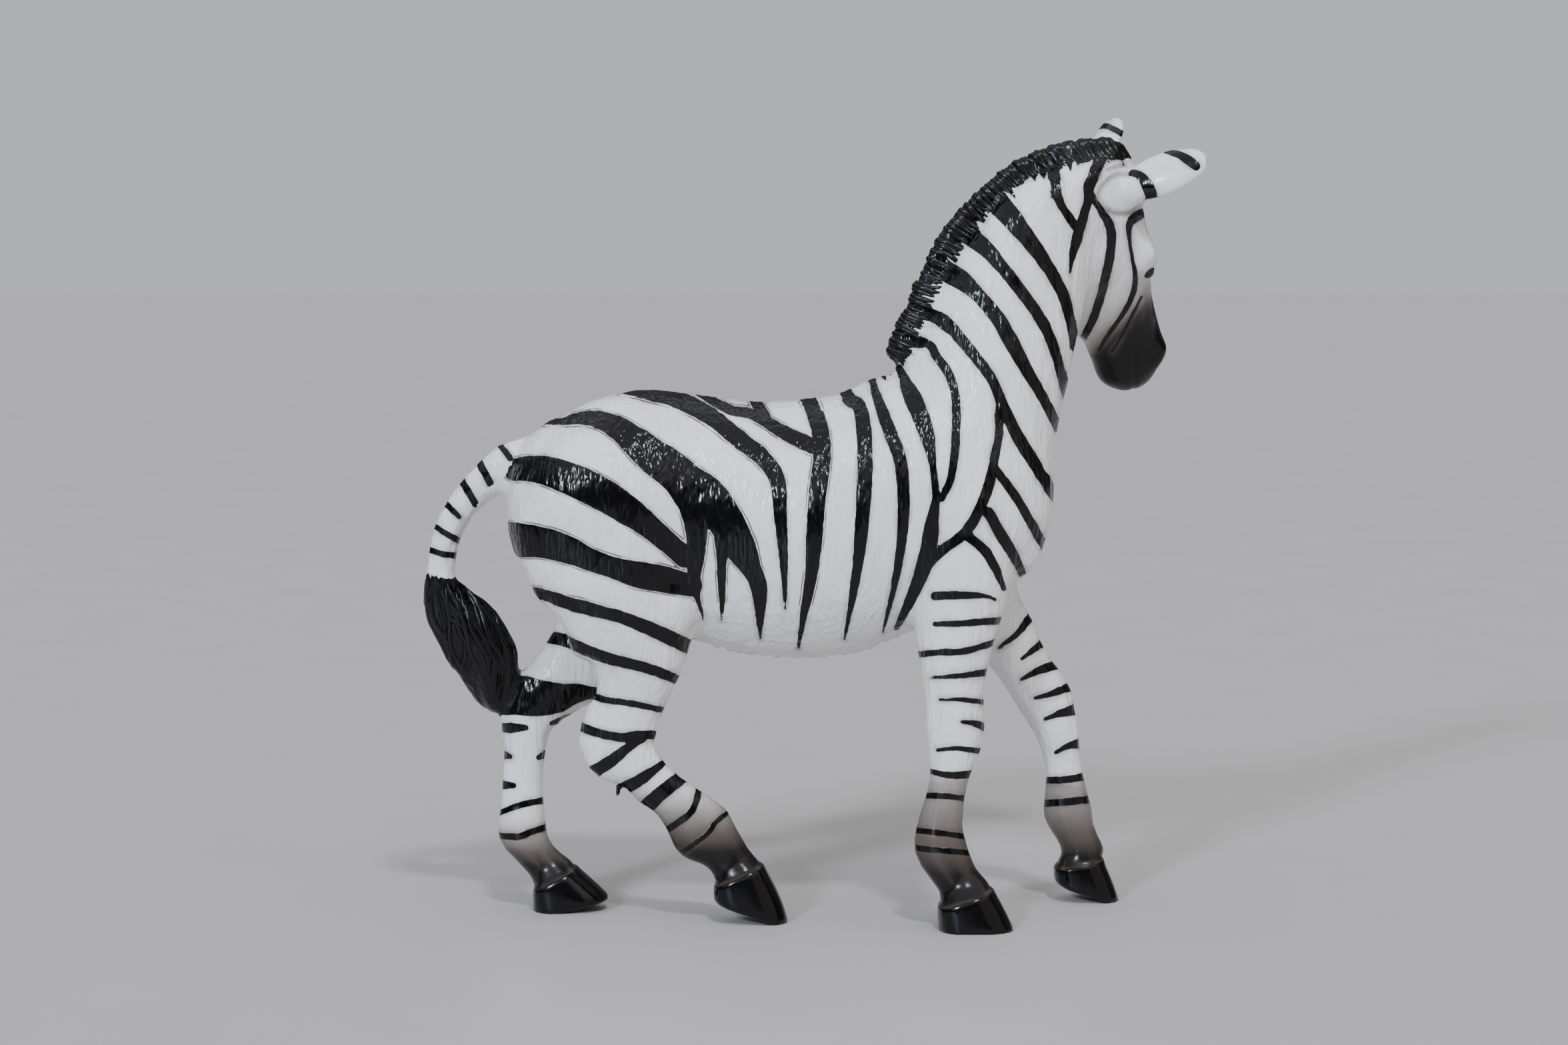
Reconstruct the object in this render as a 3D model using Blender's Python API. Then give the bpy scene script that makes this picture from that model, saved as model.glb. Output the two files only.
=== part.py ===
"""Zebra figurine: a plastic animal cast in one piece, striding with its head turned to its left.

Every form is a closed tube lofted through rings. The tubes are fused by a voxel remesh, the creases where
two forms meet are softened, the small carving is pressed in, and the feet are cut flat on the floor.
"""

import math
from collections import namedtuple

import bmesh
import bpy
import numpy as np
from mathutils import Matrix, Vector
from mathutils.bvhtree import BVHTree

# The driving size, in metres: from the floor to the tip of the higher ear
FIGURE_HEIGHT = 0.108

# The rings are drawn in millimetres on a master figure, and FIGURE_HEIGHT scales them.
# The master stands on a floor a little under its own zero.
MASTER_HEIGHT = 108.0
MASTER_FLOOR = -0.5
MM = FIGURE_HEIGHT / MASTER_HEIGHT

# Sizes on the master figure, in millimetres
EAR_LENGTH = 11.6
EAR_WALL = 1.3
EAR_LIP = 0.5
MANE_HEIGHT = 2.9
MANE_THICKNESS = 2.6
MANE_LOCK_SPACING = 2.3
MANE_LOCK_RELIEF = 0.35
TAIL_LOCK_RELIEF = 0.45
SOLE_SINK = 0.8

# The head hangs from the poll: it turns to the left, drops and leans, in degrees
POLL = (37.5, 8.0, 99.3)
HEAD_TURN = 61.5
HEAD_DROP = 60.0
HEAD_LEAN = 31.0

# The right ear on the head, whose own X runs to the nose, Y to the left and Z out of the forehead
EAR_ROOT = (2.5, -3.9, 3.2)
EAR_REACH = (-0.18, -0.54, 0.82)
EAR_OPEN_SIDE = (0.86, 0.36, 0.36)

# How the surface is made, in millimetres on the master figure
FUSE_VOXEL = 0.5
RING_SPACING = 1.2
RING_SIDES = 40
TRIANGLES = 9300

PLASTIC_WHITE = (0.86, 0.86, 0.84, 1.0)
PLASTIC_ROUGHNESS = 0.38

Ring = namedtuple("Ring", "x y z depth width turn roll tilt", defaults=(0.0, 0.0, None))
Form = namedtuple("Form", "mesh join")


def clear_scene():
    for item in list(bpy.data.objects):
        bpy.data.objects.remove(item)


def catmull_rom(before, start, end, after, share):
    """The value a share of the way from start to end, on a smooth curve through all four."""
    return 0.5 * (
        2 * start
        + (end - before) * share
        + (2 * before - 5 * start + 4 * end - after) * share**2
        + (3 * start - before - 3 * end + after) * share**3
    )


def in_between(rings, spacing):
    """More rings on a smooth run through the given ones, about one spacing apart."""
    rows = np.array([ring[:7] for ring in rings], float)
    tilts = [ring.tilt for ring in rings]
    dense = []
    for index in range(len(rows) - 1):
        before = rows[max(index - 1, 0)]
        after = rows[min(index + 2, len(rows) - 1)]
        start, end = rows[index], rows[index + 1]
        steps = max(1, round(float(np.linalg.norm(end[:3] - start[:3])) / spacing))
        for step in range(steps):
            share = step / steps
            row = catmull_rom(before, start, end, after, share)
            tilted = tilts[index] is not None and tilts[index + 1] is not None
            tilt = (1 - share) * tilts[index] + share * tilts[index + 1] if tilted else None
            dense.append(Ring(*row, tilt))
    return dense + [rings[-1]]


def ring_axes(ring, along):
    """The ring's depth axis and its width axis, which points to the animal's left."""
    turn, roll = math.radians(ring.turn), math.radians(ring.roll)
    left = Vector((-math.sin(turn) * math.cos(roll), math.cos(turn) * math.cos(roll), math.sin(roll)))
    if ring.tilt is not None:
        tilt = math.radians(ring.tilt)
        return Vector((math.cos(tilt), 0, math.sin(tilt))), left
    depth = along.cross(left).normalized()
    return depth, depth.cross(along).normalized()


def oval(ring, angle, squareness):
    """A point of a ring's outline: an ellipse at squareness 2, nearer a box above that."""
    power = 2 / squareness
    across, side = math.cos(angle), math.sin(angle)
    return (
        ring.depth * math.copysign(abs(across) ** power, across),
        ring.width * math.copysign(abs(side) ** power, side),
    )


def loft(rings, squareness=2.0, bias=0.0, spacing=RING_SPACING, relief=None, section=oval):
    """A closed tube through the rings. A bias above 0 makes its front or upper half the wider one."""
    rings = in_between(rings, spacing)
    centres = [Vector(ring[:3]) for ring in rings]
    mesh = bmesh.new()
    loops = []
    travelled = 0.0
    for index, ring in enumerate(rings):
        ahead = centres[min(index + 1, len(rings) - 1)]
        behind = centres[max(index - 1, 0)]
        travelled += (centres[index] - behind).length
        depth_axis, left_axis = ring_axes(ring, (ahead - behind).normalized())
        loop = []
        for side in range(RING_SIDES):
            angle = math.tau * side / RING_SIDES
            across, sideways = section(ring, angle, squareness)
            sideways *= 1 + bias * math.cos(angle)
            swell = 1 + relief(travelled, angle) if relief else 1
            point = centres[index] + (depth_axis * across + left_axis * sideways) * swell
            loop.append(mesh.verts.new(point))
        loops.append(loop)
    for first, second in zip(loops, loops[1:]):
        for side in range(RING_SIDES):
            beside = (side + 1) % RING_SIDES
            mesh.faces.new((first[side], first[beside], second[beside], second[side]))
    mesh.faces.new(reversed(loops[0]))
    mesh.faces.new(loops[-1])
    bmesh.ops.recalc_face_normals(mesh, faces=mesh.faces)
    return mesh


def blob(centre, radii, turn=0.0, drop=0.0, lean=0.0):
    """An ellipsoid, such as a muscle or the swell over an eye."""
    mesh = bmesh.new()
    bmesh.ops.create_icosphere(mesh, subdivisions=3, radius=1.0)
    pose = (
        Matrix.Translation(centre)
        @ Matrix.Rotation(math.radians(turn), 4, "Z")
        @ Matrix.Rotation(math.radians(drop), 4, "Y")
        @ Matrix.Rotation(math.radians(lean), 4, "X")
        @ Matrix.Diagonal((*radii, 1.0))
    )
    bmesh.ops.transform(mesh, matrix=pose, verts=mesh.verts)
    return mesh


def posed(mesh, pose):
    bmesh.ops.transform(mesh, matrix=pose, verts=mesh.verts)
    return mesh


def mirrored(mesh):
    """The same form on the other side of the head."""
    copy = mesh.copy()
    bmesh.ops.transform(copy, matrix=Matrix.Diagonal((1, -1, 1, 1)), verts=copy.verts)
    bmesh.ops.reverse_faces(copy, faces=copy.faces)
    return copy


def torso():
    """The barrel, from the buttocks to the breast. Its rings stand upright."""
    rings = [
        Ring(-41.2, 0, 54.6, 3.0, 3.5, tilt=90),
        Ring(-40.5, 0, 55.0, 6.0, 6.4, tilt=90),
        Ring(-38.2, 0, 55.6, 9.2, 9.2, tilt=90),
        Ring(-34.5, 0, 55.9, 11.3, 11.4, tilt=90),
        Ring(-29.0, 0, 55.4, 14.2, 13.3, tilt=90),
        Ring(-23.0, 0, 55.0, 15.8, 14.0, tilt=90),
        Ring(-16.0, 0, 53.6, 16.6, 13.3, tilt=90),
        Ring(-9.0, 0, 52.3, 17.0, 14.1, tilt=90),
        Ring(-2.0, 0, 52.1, 17.4, 14.9, tilt=90),
        Ring(5.0, 0, 53.0, 17.7, 14.5, tilt=90),
        Ring(12.0, 0, 55.6, 17.8, 13.2, tilt=90),
        Ring(18.5, 0, 57.0, 16.8, 12.6, tilt=90),
        Ring(24.5, 0, 57.0, 14.2, 11.6, tilt=90),
        Ring(28.8, 0, 57.0, 10.6, 9.3, tilt=90),
        Ring(31.4, 0, 57.6, 6.4, 6.2, tilt=90),
        Ring(32.2, 0, 58.0, 3.0, 3.0, tilt=90),
    ]
    return loft(rings, squareness=2.15, bias=-0.05)


def neck():
    """The arched neck, which turns with the head as it rises."""
    rings = [
        Ring(18.5, 0.0, 60.0, 13.6, 9.8),
        Ring(20.8, 0.2, 66.5, 12.2, 9.2),
        Ring(23.0, 0.8, 72.5, 11.2, 8.3, turn=5, roll=2),
        Ring(25.8, 2.0, 80.0, 10.3, 7.2, turn=14, roll=5),
        Ring(28.9, 3.8, 87.0, 9.4, 6.3, turn=25, roll=9),
        Ring(32.2, 5.6, 92.6, 8.1, 5.6, turn=36, roll=13),
        Ring(36.0, 7.4, 96.0, 6.6, 5.2, turn=44, roll=16),
        Ring(39.0, 9.2, 97.0, 5.6, 4.8, turn=47, roll=17),
    ]
    return loft(rings, squareness=2.0, bias=-0.12)


def lock_swell(travelled, angle):
    """Rounded locks along the top of the mane."""
    upper = max(0.0, math.cos(angle))
    wave = abs(math.sin(math.pi * travelled / MANE_LOCK_SPACING))
    return MANE_LOCK_RELIEF / MANE_HEIGHT * upper * (wave - 0.5)


def mane():
    """The upright mane along the crest, from the withers over the poll to the forelock."""
    half = MANE_THICKNESS / 2
    crest = [
        (11.7, 0.0, 74.2, 0, 0, 0.8),
        (13.1, 0.2, 77.3, 2, 1, 1.0),
        (15.0, 0.7, 80.9, 5, 2, 1.0),
        (16.7, 1.3, 84.8, 9, 3, 1.0),
        (18.7, 2.0, 89.0, 14, 5, 1.0),
        (21.3, 2.9, 92.9, 20, 7, 1.0),
        (24.8, 4.0, 96.1, 27, 10, 1.0),
        (28.6, 5.2, 99.2, 34, 12, 1.0),
        (32.9, 6.4, 100.9, 40, 15, 1.0),
        (37.3, 7.6, 101.8, 45, 17, 1.0),
        (40.4, 8.6, 101.8, 47, 17, 0.95),
        (42.8, 9.8, 100.8, 47, 17, 0.55),
    ]
    rings = [
        Ring(x, y, z, MANE_HEIGHT * full, half * full, turn=turn, roll=roll)
        for x, y, z, turn, roll, full in crest
    ]
    return loft(rings, squareness=2.3, spacing=MANE_LOCK_SPACING / 5, relief=lock_swell)


def tail():
    """The dock and the bare tail, bowed clear of the rump."""
    rings = [
        Ring(-36.0, 0.0, 61.2, 3.2, 3.2),
        Ring(-40.2, 0.2, 61.0, 3.1, 3.0),
        Ring(-43.6, 0.5, 59.0, 2.6, 2.5),
        Ring(-46.7, 0.9, 56.2, 2.15, 2.1),
        Ring(-48.9, 1.3, 53.0, 1.95, 1.9),
        Ring(-50.1, 1.8, 49.6, 1.9, 1.85),
        Ring(-50.6, 2.2, 46.0, 2.0, 1.9),
        Ring(-50.6, 2.6, 43.0, 2.2, 1.9),
    ]
    return loft(rings)


def tuft_swell(travelled, angle):
    """Long twisted locks round the tuft."""
    return TAIL_LOCK_RELIEF / 4.0 * math.sin(5 * angle + 0.22 * travelled)


def tuft():
    """The tuft of long hair, whose end lies on the far hind leg's hock."""
    rings = [
        Ring(-50.7, 2.2, 46.8, 1.9, 1.9),
        Ring(-50.8, 2.4, 44.8, 2.2, 2.2),
        Ring(-49.7, 2.9, 41.4, 3.4, 2.9),
        Ring(-47.1, 3.4, 37.8, 4.2, 3.3),
        Ring(-44.8, 3.9, 34.2, 4.2, 3.3),
        Ring(-43.6, 4.4, 30.8, 3.6, 2.9),
        Ring(-43.0, 4.8, 28.0, 2.6, 2.1),
        Ring(-42.4, 5.0, 26.5, 1.0, 0.9),
    ]
    return loft(rings, relief=tuft_swell)


def near_foreleg():
    """The right foreleg, which carries the weight: shoulder, forearm, knee, cannon and pastern."""
    rings = [
        Ring(20.5, -6.0, 55.0, 7.5, 6.3),
        Ring(19.8, -7.4, 48.5, 7.0, 5.8),
        Ring(19.0, -8.0, 43.0, 6.4, 5.1),
        Ring(18.7, -8.5, 38.2, 5.3, 4.3),
        Ring(18.6, -8.9, 34.0, 4.4, 3.7),
        Ring(18.6, -9.2, 29.6, 3.9, 3.25),
        Ring(18.7, -9.4, 25.8, 3.95, 3.2),
        Ring(18.4, -9.5, 22.4, 3.3, 2.8),
        Ring(17.9, -9.6, 19.2, 2.6, 2.2),
        Ring(17.3, -9.7, 16.0, 2.7, 2.15),
        Ring(16.7, -9.8, 12.9, 3.15, 2.5),
        Ring(16.8, -10.1, 10.4, 3.55, 2.8),
        Ring(17.9, -10.4, 8.0, 3.2, 2.7),
        Ring(19.1, -10.7, 6.0, 2.9, 2.7),
        Ring(20.1, -10.9, 4.4, 3.3, 3.1),
        Ring(20.8, -11.0, 3.2, 3.7, 3.4),
    ]
    return loft(rings)


def far_foreleg():
    """The left foreleg, stepping forward on the tip of its toe."""
    rings = [
        Ring(21.0, 6.0, 53.0, 7.3, 6.0),
        Ring(22.0, 7.0, 47.0, 6.2, 5.4),
        Ring(23.4, 7.8, 41.5, 4.9, 4.5),
        Ring(26.2, 8.2, 36.8, 4.3, 3.9),
        Ring(28.9, 8.5, 32.2, 3.7, 3.4),
        Ring(31.8, 8.7, 27.8, 3.8, 3.2),
        Ring(33.6, 8.8, 23.2, 3.0, 2.75),
        Ring(34.5, 8.9, 18.6, 2.5, 2.2),
        Ring(34.9, 9.1, 15.0, 2.9, 2.3),
        Ring(35.2, 9.4, 11.9, 3.4, 2.8),
        Ring(36.2, 9.7, 9.2, 2.8, 2.6),
        Ring(37.1, 10.0, 7.0, 2.8, 2.8),
        Ring(37.5, 10.2, 5.6, 3.2, 3.2),
    ]
    return loft(rings)


def near_hind_leg():
    """The right hind leg, drawn under the body and resting on its toe."""
    rings = [
        Ring(-27.5, -5.6, 61.0, 9.8, 6.6),
        Ring(-27.6, -7.0, 54.0, 12.6, 7.0),
        Ring(-26.7, -7.6, 47.5, 11.6, 6.9),
        Ring(-25.4, -7.7, 41.6, 9.9, 6.2),
        Ring(-23.8, -7.5, 36.6, 7.5, 5.1),
        Ring(-24.0, -7.2, 32.6, 5.5, 4.1),
        Ring(-24.8, -7.0, 29.0, 4.6, 3.4),
        Ring(-26.1, -6.8, 25.7, 5.2, 3.1),
        Ring(-25.9, -6.7, 23.0, 5.2, 3.1),
        Ring(-23.4, -6.6, 20.4, 3.3, 2.7),
        Ring(-21.6, -6.5, 18.3, 3.15, 2.3),
        Ring(-19.3, -6.4, 16.5, 3.0, 2.25),
        Ring(-16.9, -6.2, 14.1, 3.7, 2.5),
        Ring(-14.9, -6.1, 11.7, 4.4, 2.85),
        Ring(-12.6, -6.0, 9.5, 3.3, 2.6),
        Ring(-11.2, -5.9, 7.6, 2.95, 2.6),
        Ring(-10.2, -5.8, 6.0, 3.3, 3.0),
    ]
    return loft(rings)


def far_hind_leg():
    """The left hind leg, trailing behind with its toe a little raised."""
    rings = [
        Ring(-27.5, 5.6, 61.0, 9.8, 6.6),
        Ring(-27.8, 7.0, 54.0, 12.4, 7.0),
        Ring(-27.4, 7.6, 47.5, 10.8, 6.8),
        Ring(-28.0, 7.4, 42.0, 8.8, 6.0),
        Ring(-29.6, 6.9, 36.6, 6.3, 4.7),
        Ring(-32.9, 6.0, 32.1, 5.2, 3.7),
        Ring(-36.6, 5.3, 29.0, 4.4, 3.2),
        Ring(-39.1, 4.9, 25.4, 3.6, 3.0),
        Ring(-39.5, 4.6, 21.6, 2.9, 2.6),
        Ring(-39.8, 4.2, 17.6, 2.75, 2.2),
        Ring(-39.8, 3.8, 13.6, 2.95, 2.3),
        Ring(-39.8, 3.5, 10.1, 3.4, 2.8),
        Ring(-38.1, 3.3, 7.2, 2.6, 2.6),
        Ring(-36.3, 3.1, 5.2, 2.7, 2.8),
        Ring(-35.4, 3.0, 4.0, 3.4, 3.1),
    ]
    return loft(rings)


def hoof(side, coronet, sole_heel, sole_toe, width):
    """A hoof between its sloping coronet and its sole, each given as (heel x, heel z, toe x, toe z)."""
    heel_x, heel_z, toe_x, toe_z = coronet
    top_tilt = math.degrees(math.atan2(toe_z - heel_z, toe_x - heel_x))
    sole_tilt = math.degrees(math.atan2(sole_toe[1] - sole_heel[1], sole_toe[0] - sole_heel[0]))
    top_depth = math.hypot(toe_x - heel_x, toe_z - heel_z) / 2
    sole_depth = math.hypot(sole_toe[0] - sole_heel[0], sole_toe[1] - sole_heel[1]) / 2
    top = ((heel_x + toe_x) / 2, (heel_z + toe_z) / 2)
    sole = ((sole_heel[0] + sole_toe[0]) / 2, (sole_heel[1] + sole_toe[1]) / 2)
    rings = [
        Ring(top[0], side, top[1] + 0.9, top_depth * 0.86, width * 0.8, tilt=top_tilt),
        Ring(top[0], side, top[1], top_depth, width * 0.9, tilt=top_tilt),
        Ring(sole[0], side, sole[1], sole_depth, width, tilt=sole_tilt),
    ]
    return loft(rings, squareness=2.9, bias=-0.08, spacing=0.8)


def hooves():
    """The four hooves: one flat on the floor, two on their toes and one with its toe raised."""
    low = MASTER_FLOOR - SOLE_SINK
    return [
        hoof(-11.0, (16.4, 2.5, 23.9, 4.9), (16.6, low), (27.0, low), 4.9),
        hoof(10.2, (33.4, 4.0, 40.2, 5.2), (33.6, 1.8), (42.6, low), 4.2),
        hoof(-5.8, (-13.4, 4.4, -6.8, 7.3), (-13.2, 2.1), (-3.3, low), 4.1),
        hoof(3.0, (-38.4, 2.2, -32.4, 5.4), (-38.3, low), (-27.6, 0.9), 4.4),
    ]


def muscles():
    """Swells that the tubes alone don't give: haunches, stifles, shoulders, elbows, withers and breast."""
    return [
        blob((-28.8, -7.8, 55.5), (10.0, 6.6, 11.0)),
        blob((-28.8, 7.8, 55.5), (10.0, 6.6, 11.0)),
        blob((-19.5, -8.6, 43.0), (4.6, 4.6, 6.4), drop=20),
        blob((-20.5, 8.4, 44.0), (4.6, 4.6, 6.4), drop=20),
        blob((20.5, -7.2, 55.0), (7.0, 5.8, 9.0), drop=-20),
        blob((21.5, 7.2, 55.0), (7.0, 5.8, 9.0), drop=-20),
        blob((26.0, -4.6, 51.2), (4.6, 4.0, 5.6), drop=-25),
        blob((26.4, 4.6, 51.2), (4.6, 4.0, 5.6), drop=-25),
        blob((9.7, 0, 68.4), (8.0, 4.6, 4.4), drop=-14),
    ]


def skull():
    """The head from behind the poll to the lips, along its own X, with the forehead up."""
    rings = [
        Ring(-3.0, 0, -1.2, 5.4, 4.4, tilt=90),
        Ring(1.0, 0, -0.9, 6.6, 5.2, tilt=90),
        Ring(5.0, 0, -1.3, 7.5, 5.6, tilt=90),
        Ring(9.0, 0, -1.7, 7.9, 5.6, tilt=90),
        Ring(13.0, 0, -1.6, 7.5, 5.2, tilt=90),
        Ring(17.0, 0, -1.2, 6.5, 4.6, tilt=90),
        Ring(21.0, 0, -0.9, 5.7, 4.1, tilt=90),
        Ring(25.0, 0, -0.4, 5.4, 4.0, tilt=90),
        Ring(28.2, 0, -0.1, 5.2, 4.2, tilt=90),
        Ring(30.8, 0, -0.4, 4.4, 3.8, tilt=90),
        Ring(32.4, 0, -0.7, 3.1, 2.8, tilt=90),
        Ring(33.1, 0, -0.9, 1.3, 1.2, tilt=90),
    ]
    return loft(rings, squareness=2.3, bias=0.06)


def cupped(ring, angle, squareness):
    """An ear's outline: a half round at the back, and a hollow that leaves a wall of one thickness."""
    across, side = oval(ring, angle, squareness)
    if across >= 0:
        return across, side
    hollow = (ring.depth - EAR_WALL) / ring.depth
    narrowed = max(1 - EAR_WALL / ring.width, 0.3)
    return -across * hollow - EAR_LIP, side * narrowed


def right_ear():
    """The right ear, pricked at right angles to the face: a round root and a cupped blade."""
    outline = [
        (0.10, 2.2, 2.8),
        (0.24, 2.3, 3.3),
        (0.38, 2.3, 3.6),
        (0.55, 2.2, 3.6),
        (0.72, 2.0, 3.2),
        (0.86, 1.7, 2.6),
        (0.95, 1.4, 1.9),
        (1.00, 0.7, 1.0),
    ]
    rings = [Ring(0, 0, EAR_LENGTH * share, depth, width) for share, depth, width in outline]
    reach = Vector(EAR_REACH).normalized()
    open_side = Vector(EAR_OPEN_SIDE)
    open_side = (open_side - reach * open_side.dot(reach)).normalized()
    pose = Matrix((open_side, reach.cross(open_side), reach)).transposed().to_4x4()
    pose.translation = EAR_ROOT
    return posed(loft(rings, section=cupped, spacing=0.6), pose)


def hung(meshes):
    """The meshes of the head, drawn along X and now hung from the poll."""
    pose = (
        Matrix.Translation(POLL)
        @ Matrix.Rotation(math.radians(HEAD_TURN), 4, "Z")
        @ Matrix.Rotation(math.radians(HEAD_DROP), 4, "Y")
        @ Matrix.Rotation(math.radians(HEAD_LEAN), 4, "X")
    )
    return [posed(mesh, pose) for mesh in meshes]


def head():
    """The skull with its cheeks, brows, nostrils, jaw and chin."""
    one_side = [
        blob((9.0, -3.3, -4.0), (6.4, 2.7, 5.2), drop=16),
        blob((12.2, -4.6, 3.0), (3.2, 1.8, 1.9), drop=8),
        blob((17.5, -3.7, 0.0), (5.0, 1.2, 1.6), drop=4),
        blob((28.4, -3.0, 2.0), (2.4, 1.7, 2.6), drop=-12),
    ]
    middle = [
        blob((29.0, 0, -4.0), (2.7, 2.6, 1.7)),
        blob((4.2, 0, 4.4), (4.6, 4.4, 2.4)),
    ]
    return hung([skull(), *middle, *one_side, *[mirrored(mesh) for mesh in one_side]])


def ears():
    right = right_ear()
    return hung([right, mirrored(right)])


def roots_and_eyes():
    """The round roots of the ears, and the eyeballs."""
    one_side = [
        blob(EAR_ROOT, (2.9, 2.7, 2.8)),
        blob((13.4, -4.9, 1.7), (1.5, 1.3, 1.2)),
    ]
    return hung([*one_side, *[mirrored(mesh) for mesh in one_side]])


def fused(forms):
    """One closed surface round all the forms, by a voxel remesh."""
    joined = bmesh.new()
    for form in forms:
        part = bpy.data.meshes.new("form")
        form.mesh.to_mesh(part)
        joined.from_mesh(part)
        bpy.data.meshes.remove(part)
    mesh = bpy.data.meshes.new("forms")
    joined.to_mesh(mesh)
    joined.free()
    body = bpy.data.objects.new("forms", mesh)
    bpy.context.scene.collection.objects.link(body)
    remesh = body.modifiers.new("fuse", "REMESH")
    remesh.mode = "VOXEL"
    remesh.voxel_size = FUSE_VOXEL
    graph = bpy.context.evaluated_depsgraph_get()
    surface = bpy.data.meshes.new_from_object(body.evaluated_get(graph))
    bpy.data.objects.remove(body)
    return surface


def join_weights(surface, forms):
    """How near each point is to a second form, from 0 to 1: there the crease between them is softened."""
    trees = [(BVHTree.FromBMesh(form.mesh), form.join) for form in forms]
    weights = []
    for vertex in surface.vertices:
        reaches = []
        for tree, join in trees:
            found = tree.find_nearest(vertex.co, join * 2)
            if found[0] is not None:
                reaches.append((found[3], join))
        reaches.sort()
        if len(reaches) < 2:
            weights.append(0.0)
            continue
        gap = reaches[1][0]
        join = min(reaches[0][1], reaches[1][1])
        weights.append(max(0.0, 1 - gap / join))
    return weights


def smooth_group(figure, name, weights, factor, rounds):
    """Smooth the surface where a group of weights says so."""
    group = figure.vertex_groups.new(name=name)
    for index, weight in enumerate(weights):
        if weight > 0:
            group.add([index], min(1.0, weight), "REPLACE")
    smooth = figure.modifiers.new(name, "SMOOTH")
    smooth.factor = factor
    smooth.iterations = rounds
    smooth.vertex_group = name


def softened(surface, forms, ears):
    """The surface as an object, its creases and the rims of its ears smoothed."""
    figure = bpy.data.objects.new("zebra", surface)
    bpy.context.scene.collection.objects.link(figure)
    creases = [1.6 * weight for weight in join_weights(surface, forms)]
    smooth_group(figure, "creases", creases, factor=0.7, rounds=22)
    trees = [BVHTree.FromBMesh(mesh) for mesh in ears]
    on_ear = [
        float(any(tree.find_nearest(vertex.co, FUSE_VOXEL)[0] is not None for tree in trees))
        for vertex in surface.vertices
    ]
    smooth_group(figure, "ear rims", on_ear, factor=0.5, rounds=7)
    smooth_group(figure, "polish", [1.0] * len(surface.vertices), factor=0.5, rounds=3)
    return figure


def thinned(figure):
    """The softened surface with fewer faces: more where it curves, fewer where it is plain."""
    graph = bpy.context.evaluated_depsgraph_get()
    mesh = bpy.data.meshes.new_from_object(figure.evaluated_get(graph))
    figure.modifiers.clear()
    figure.vertex_groups.clear()
    figure.data = mesh
    mesh.calc_loop_triangles()
    triangles = len(mesh.loop_triangles)
    thin = figure.modifiers.new("thin", "DECIMATE")
    thin.ratio = TRIANGLES / triangles
    graph = bpy.context.evaluated_depsgraph_get()
    figure.data = bpy.data.meshes.new_from_object(figure.evaluated_get(graph))
    figure.modifiers.clear()


def stood_on_floor(figure):
    """Cut the feet flat at the floor, centre the figure on its origin and bring it to full size."""
    mesh = bmesh.new()
    mesh.from_mesh(figure.data)
    bmesh.ops.bisect_plane(
        mesh,
        geom=[*mesh.verts, *mesh.edges, *mesh.faces],
        dist=0.03,
        plane_co=(0, 0, MASTER_FLOOR),
        plane_no=(0, 0, 1),
        clear_inner=True,
    )
    for vertex in mesh.verts:
        if vertex.co.z < MASTER_FLOOR + 0.04:
            vertex.co.z = MASTER_FLOOR
    rims = [edge for edge in mesh.edges if edge.is_boundary]
    bmesh.ops.holes_fill(mesh, edges=rims)
    bmesh.ops.triangulate(mesh, faces=[face for face in mesh.faces if len(face.verts) > 3])
    bmesh.ops.recalc_face_normals(mesh, faces=mesh.faces)
    places = np.array([vertex.co for vertex in mesh.verts])
    middle = (places.min(axis=0) + places.max(axis=0)) / 2
    move = Matrix.Translation((-middle[0], -middle[1], -MASTER_FLOOR))
    bmesh.ops.transform(mesh, matrix=Matrix.Scale(MM, 4) @ move, verts=mesh.verts)
    mesh.to_mesh(figure.data)
    mesh.free()


def painted(figure):
    """The white plastic that the painted marks go on."""
    plastic = bpy.data.materials.new("white gloss plastic")
    plastic.use_nodes = True
    shader = plastic.node_tree.nodes["Principled BSDF"]
    shader.inputs["Base Color"].default_value = PLASTIC_WHITE
    shader.inputs["Roughness"].default_value = PLASTIC_ROUGHNESS
    figure.data.materials.clear()
    figure.data.materials.append(plastic)


def main():
    clear_scene()
    wide, fleshy, close, tight = 5.0, 3.2, 2.2, 1.0
    both_ears = ears()
    forms = [
        Form(torso(), wide),
        Form(neck(), wide),
        Form(near_foreleg(), wide),
        Form(far_foreleg(), wide),
        Form(near_hind_leg(), wide),
        Form(far_hind_leg(), wide),
        *[Form(mesh, wide) for mesh in muscles()],
        Form(tail(), close),
        Form(tuft(), tight),
        Form(mane(), tight),
        *[Form(mesh, tight) for mesh in hooves()],
        *[Form(mesh, fleshy) for mesh in head()],
        *[Form(mesh, tight) for mesh in [*both_ears, *roots_and_eyes()]],
    ]
    surface = fused(forms)
    figure = softened(surface, forms, both_ears)
    thinned(figure)
    stood_on_floor(figure)
    painted(figure)


main()
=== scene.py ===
"""A plastic zebra figurine: its painted casting, its mane, its tail hair, and the table it stands on.

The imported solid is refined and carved, and each of its points is given paint by stencils laid on the
photograph's view. The mane's locks and the tail's hair are laid on the casting by Geometry Nodes.
"""

import math
from collections import namedtuple

import bmesh
import bpy
import numpy as np
from mathutils import Matrix, Vector, noise


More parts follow.
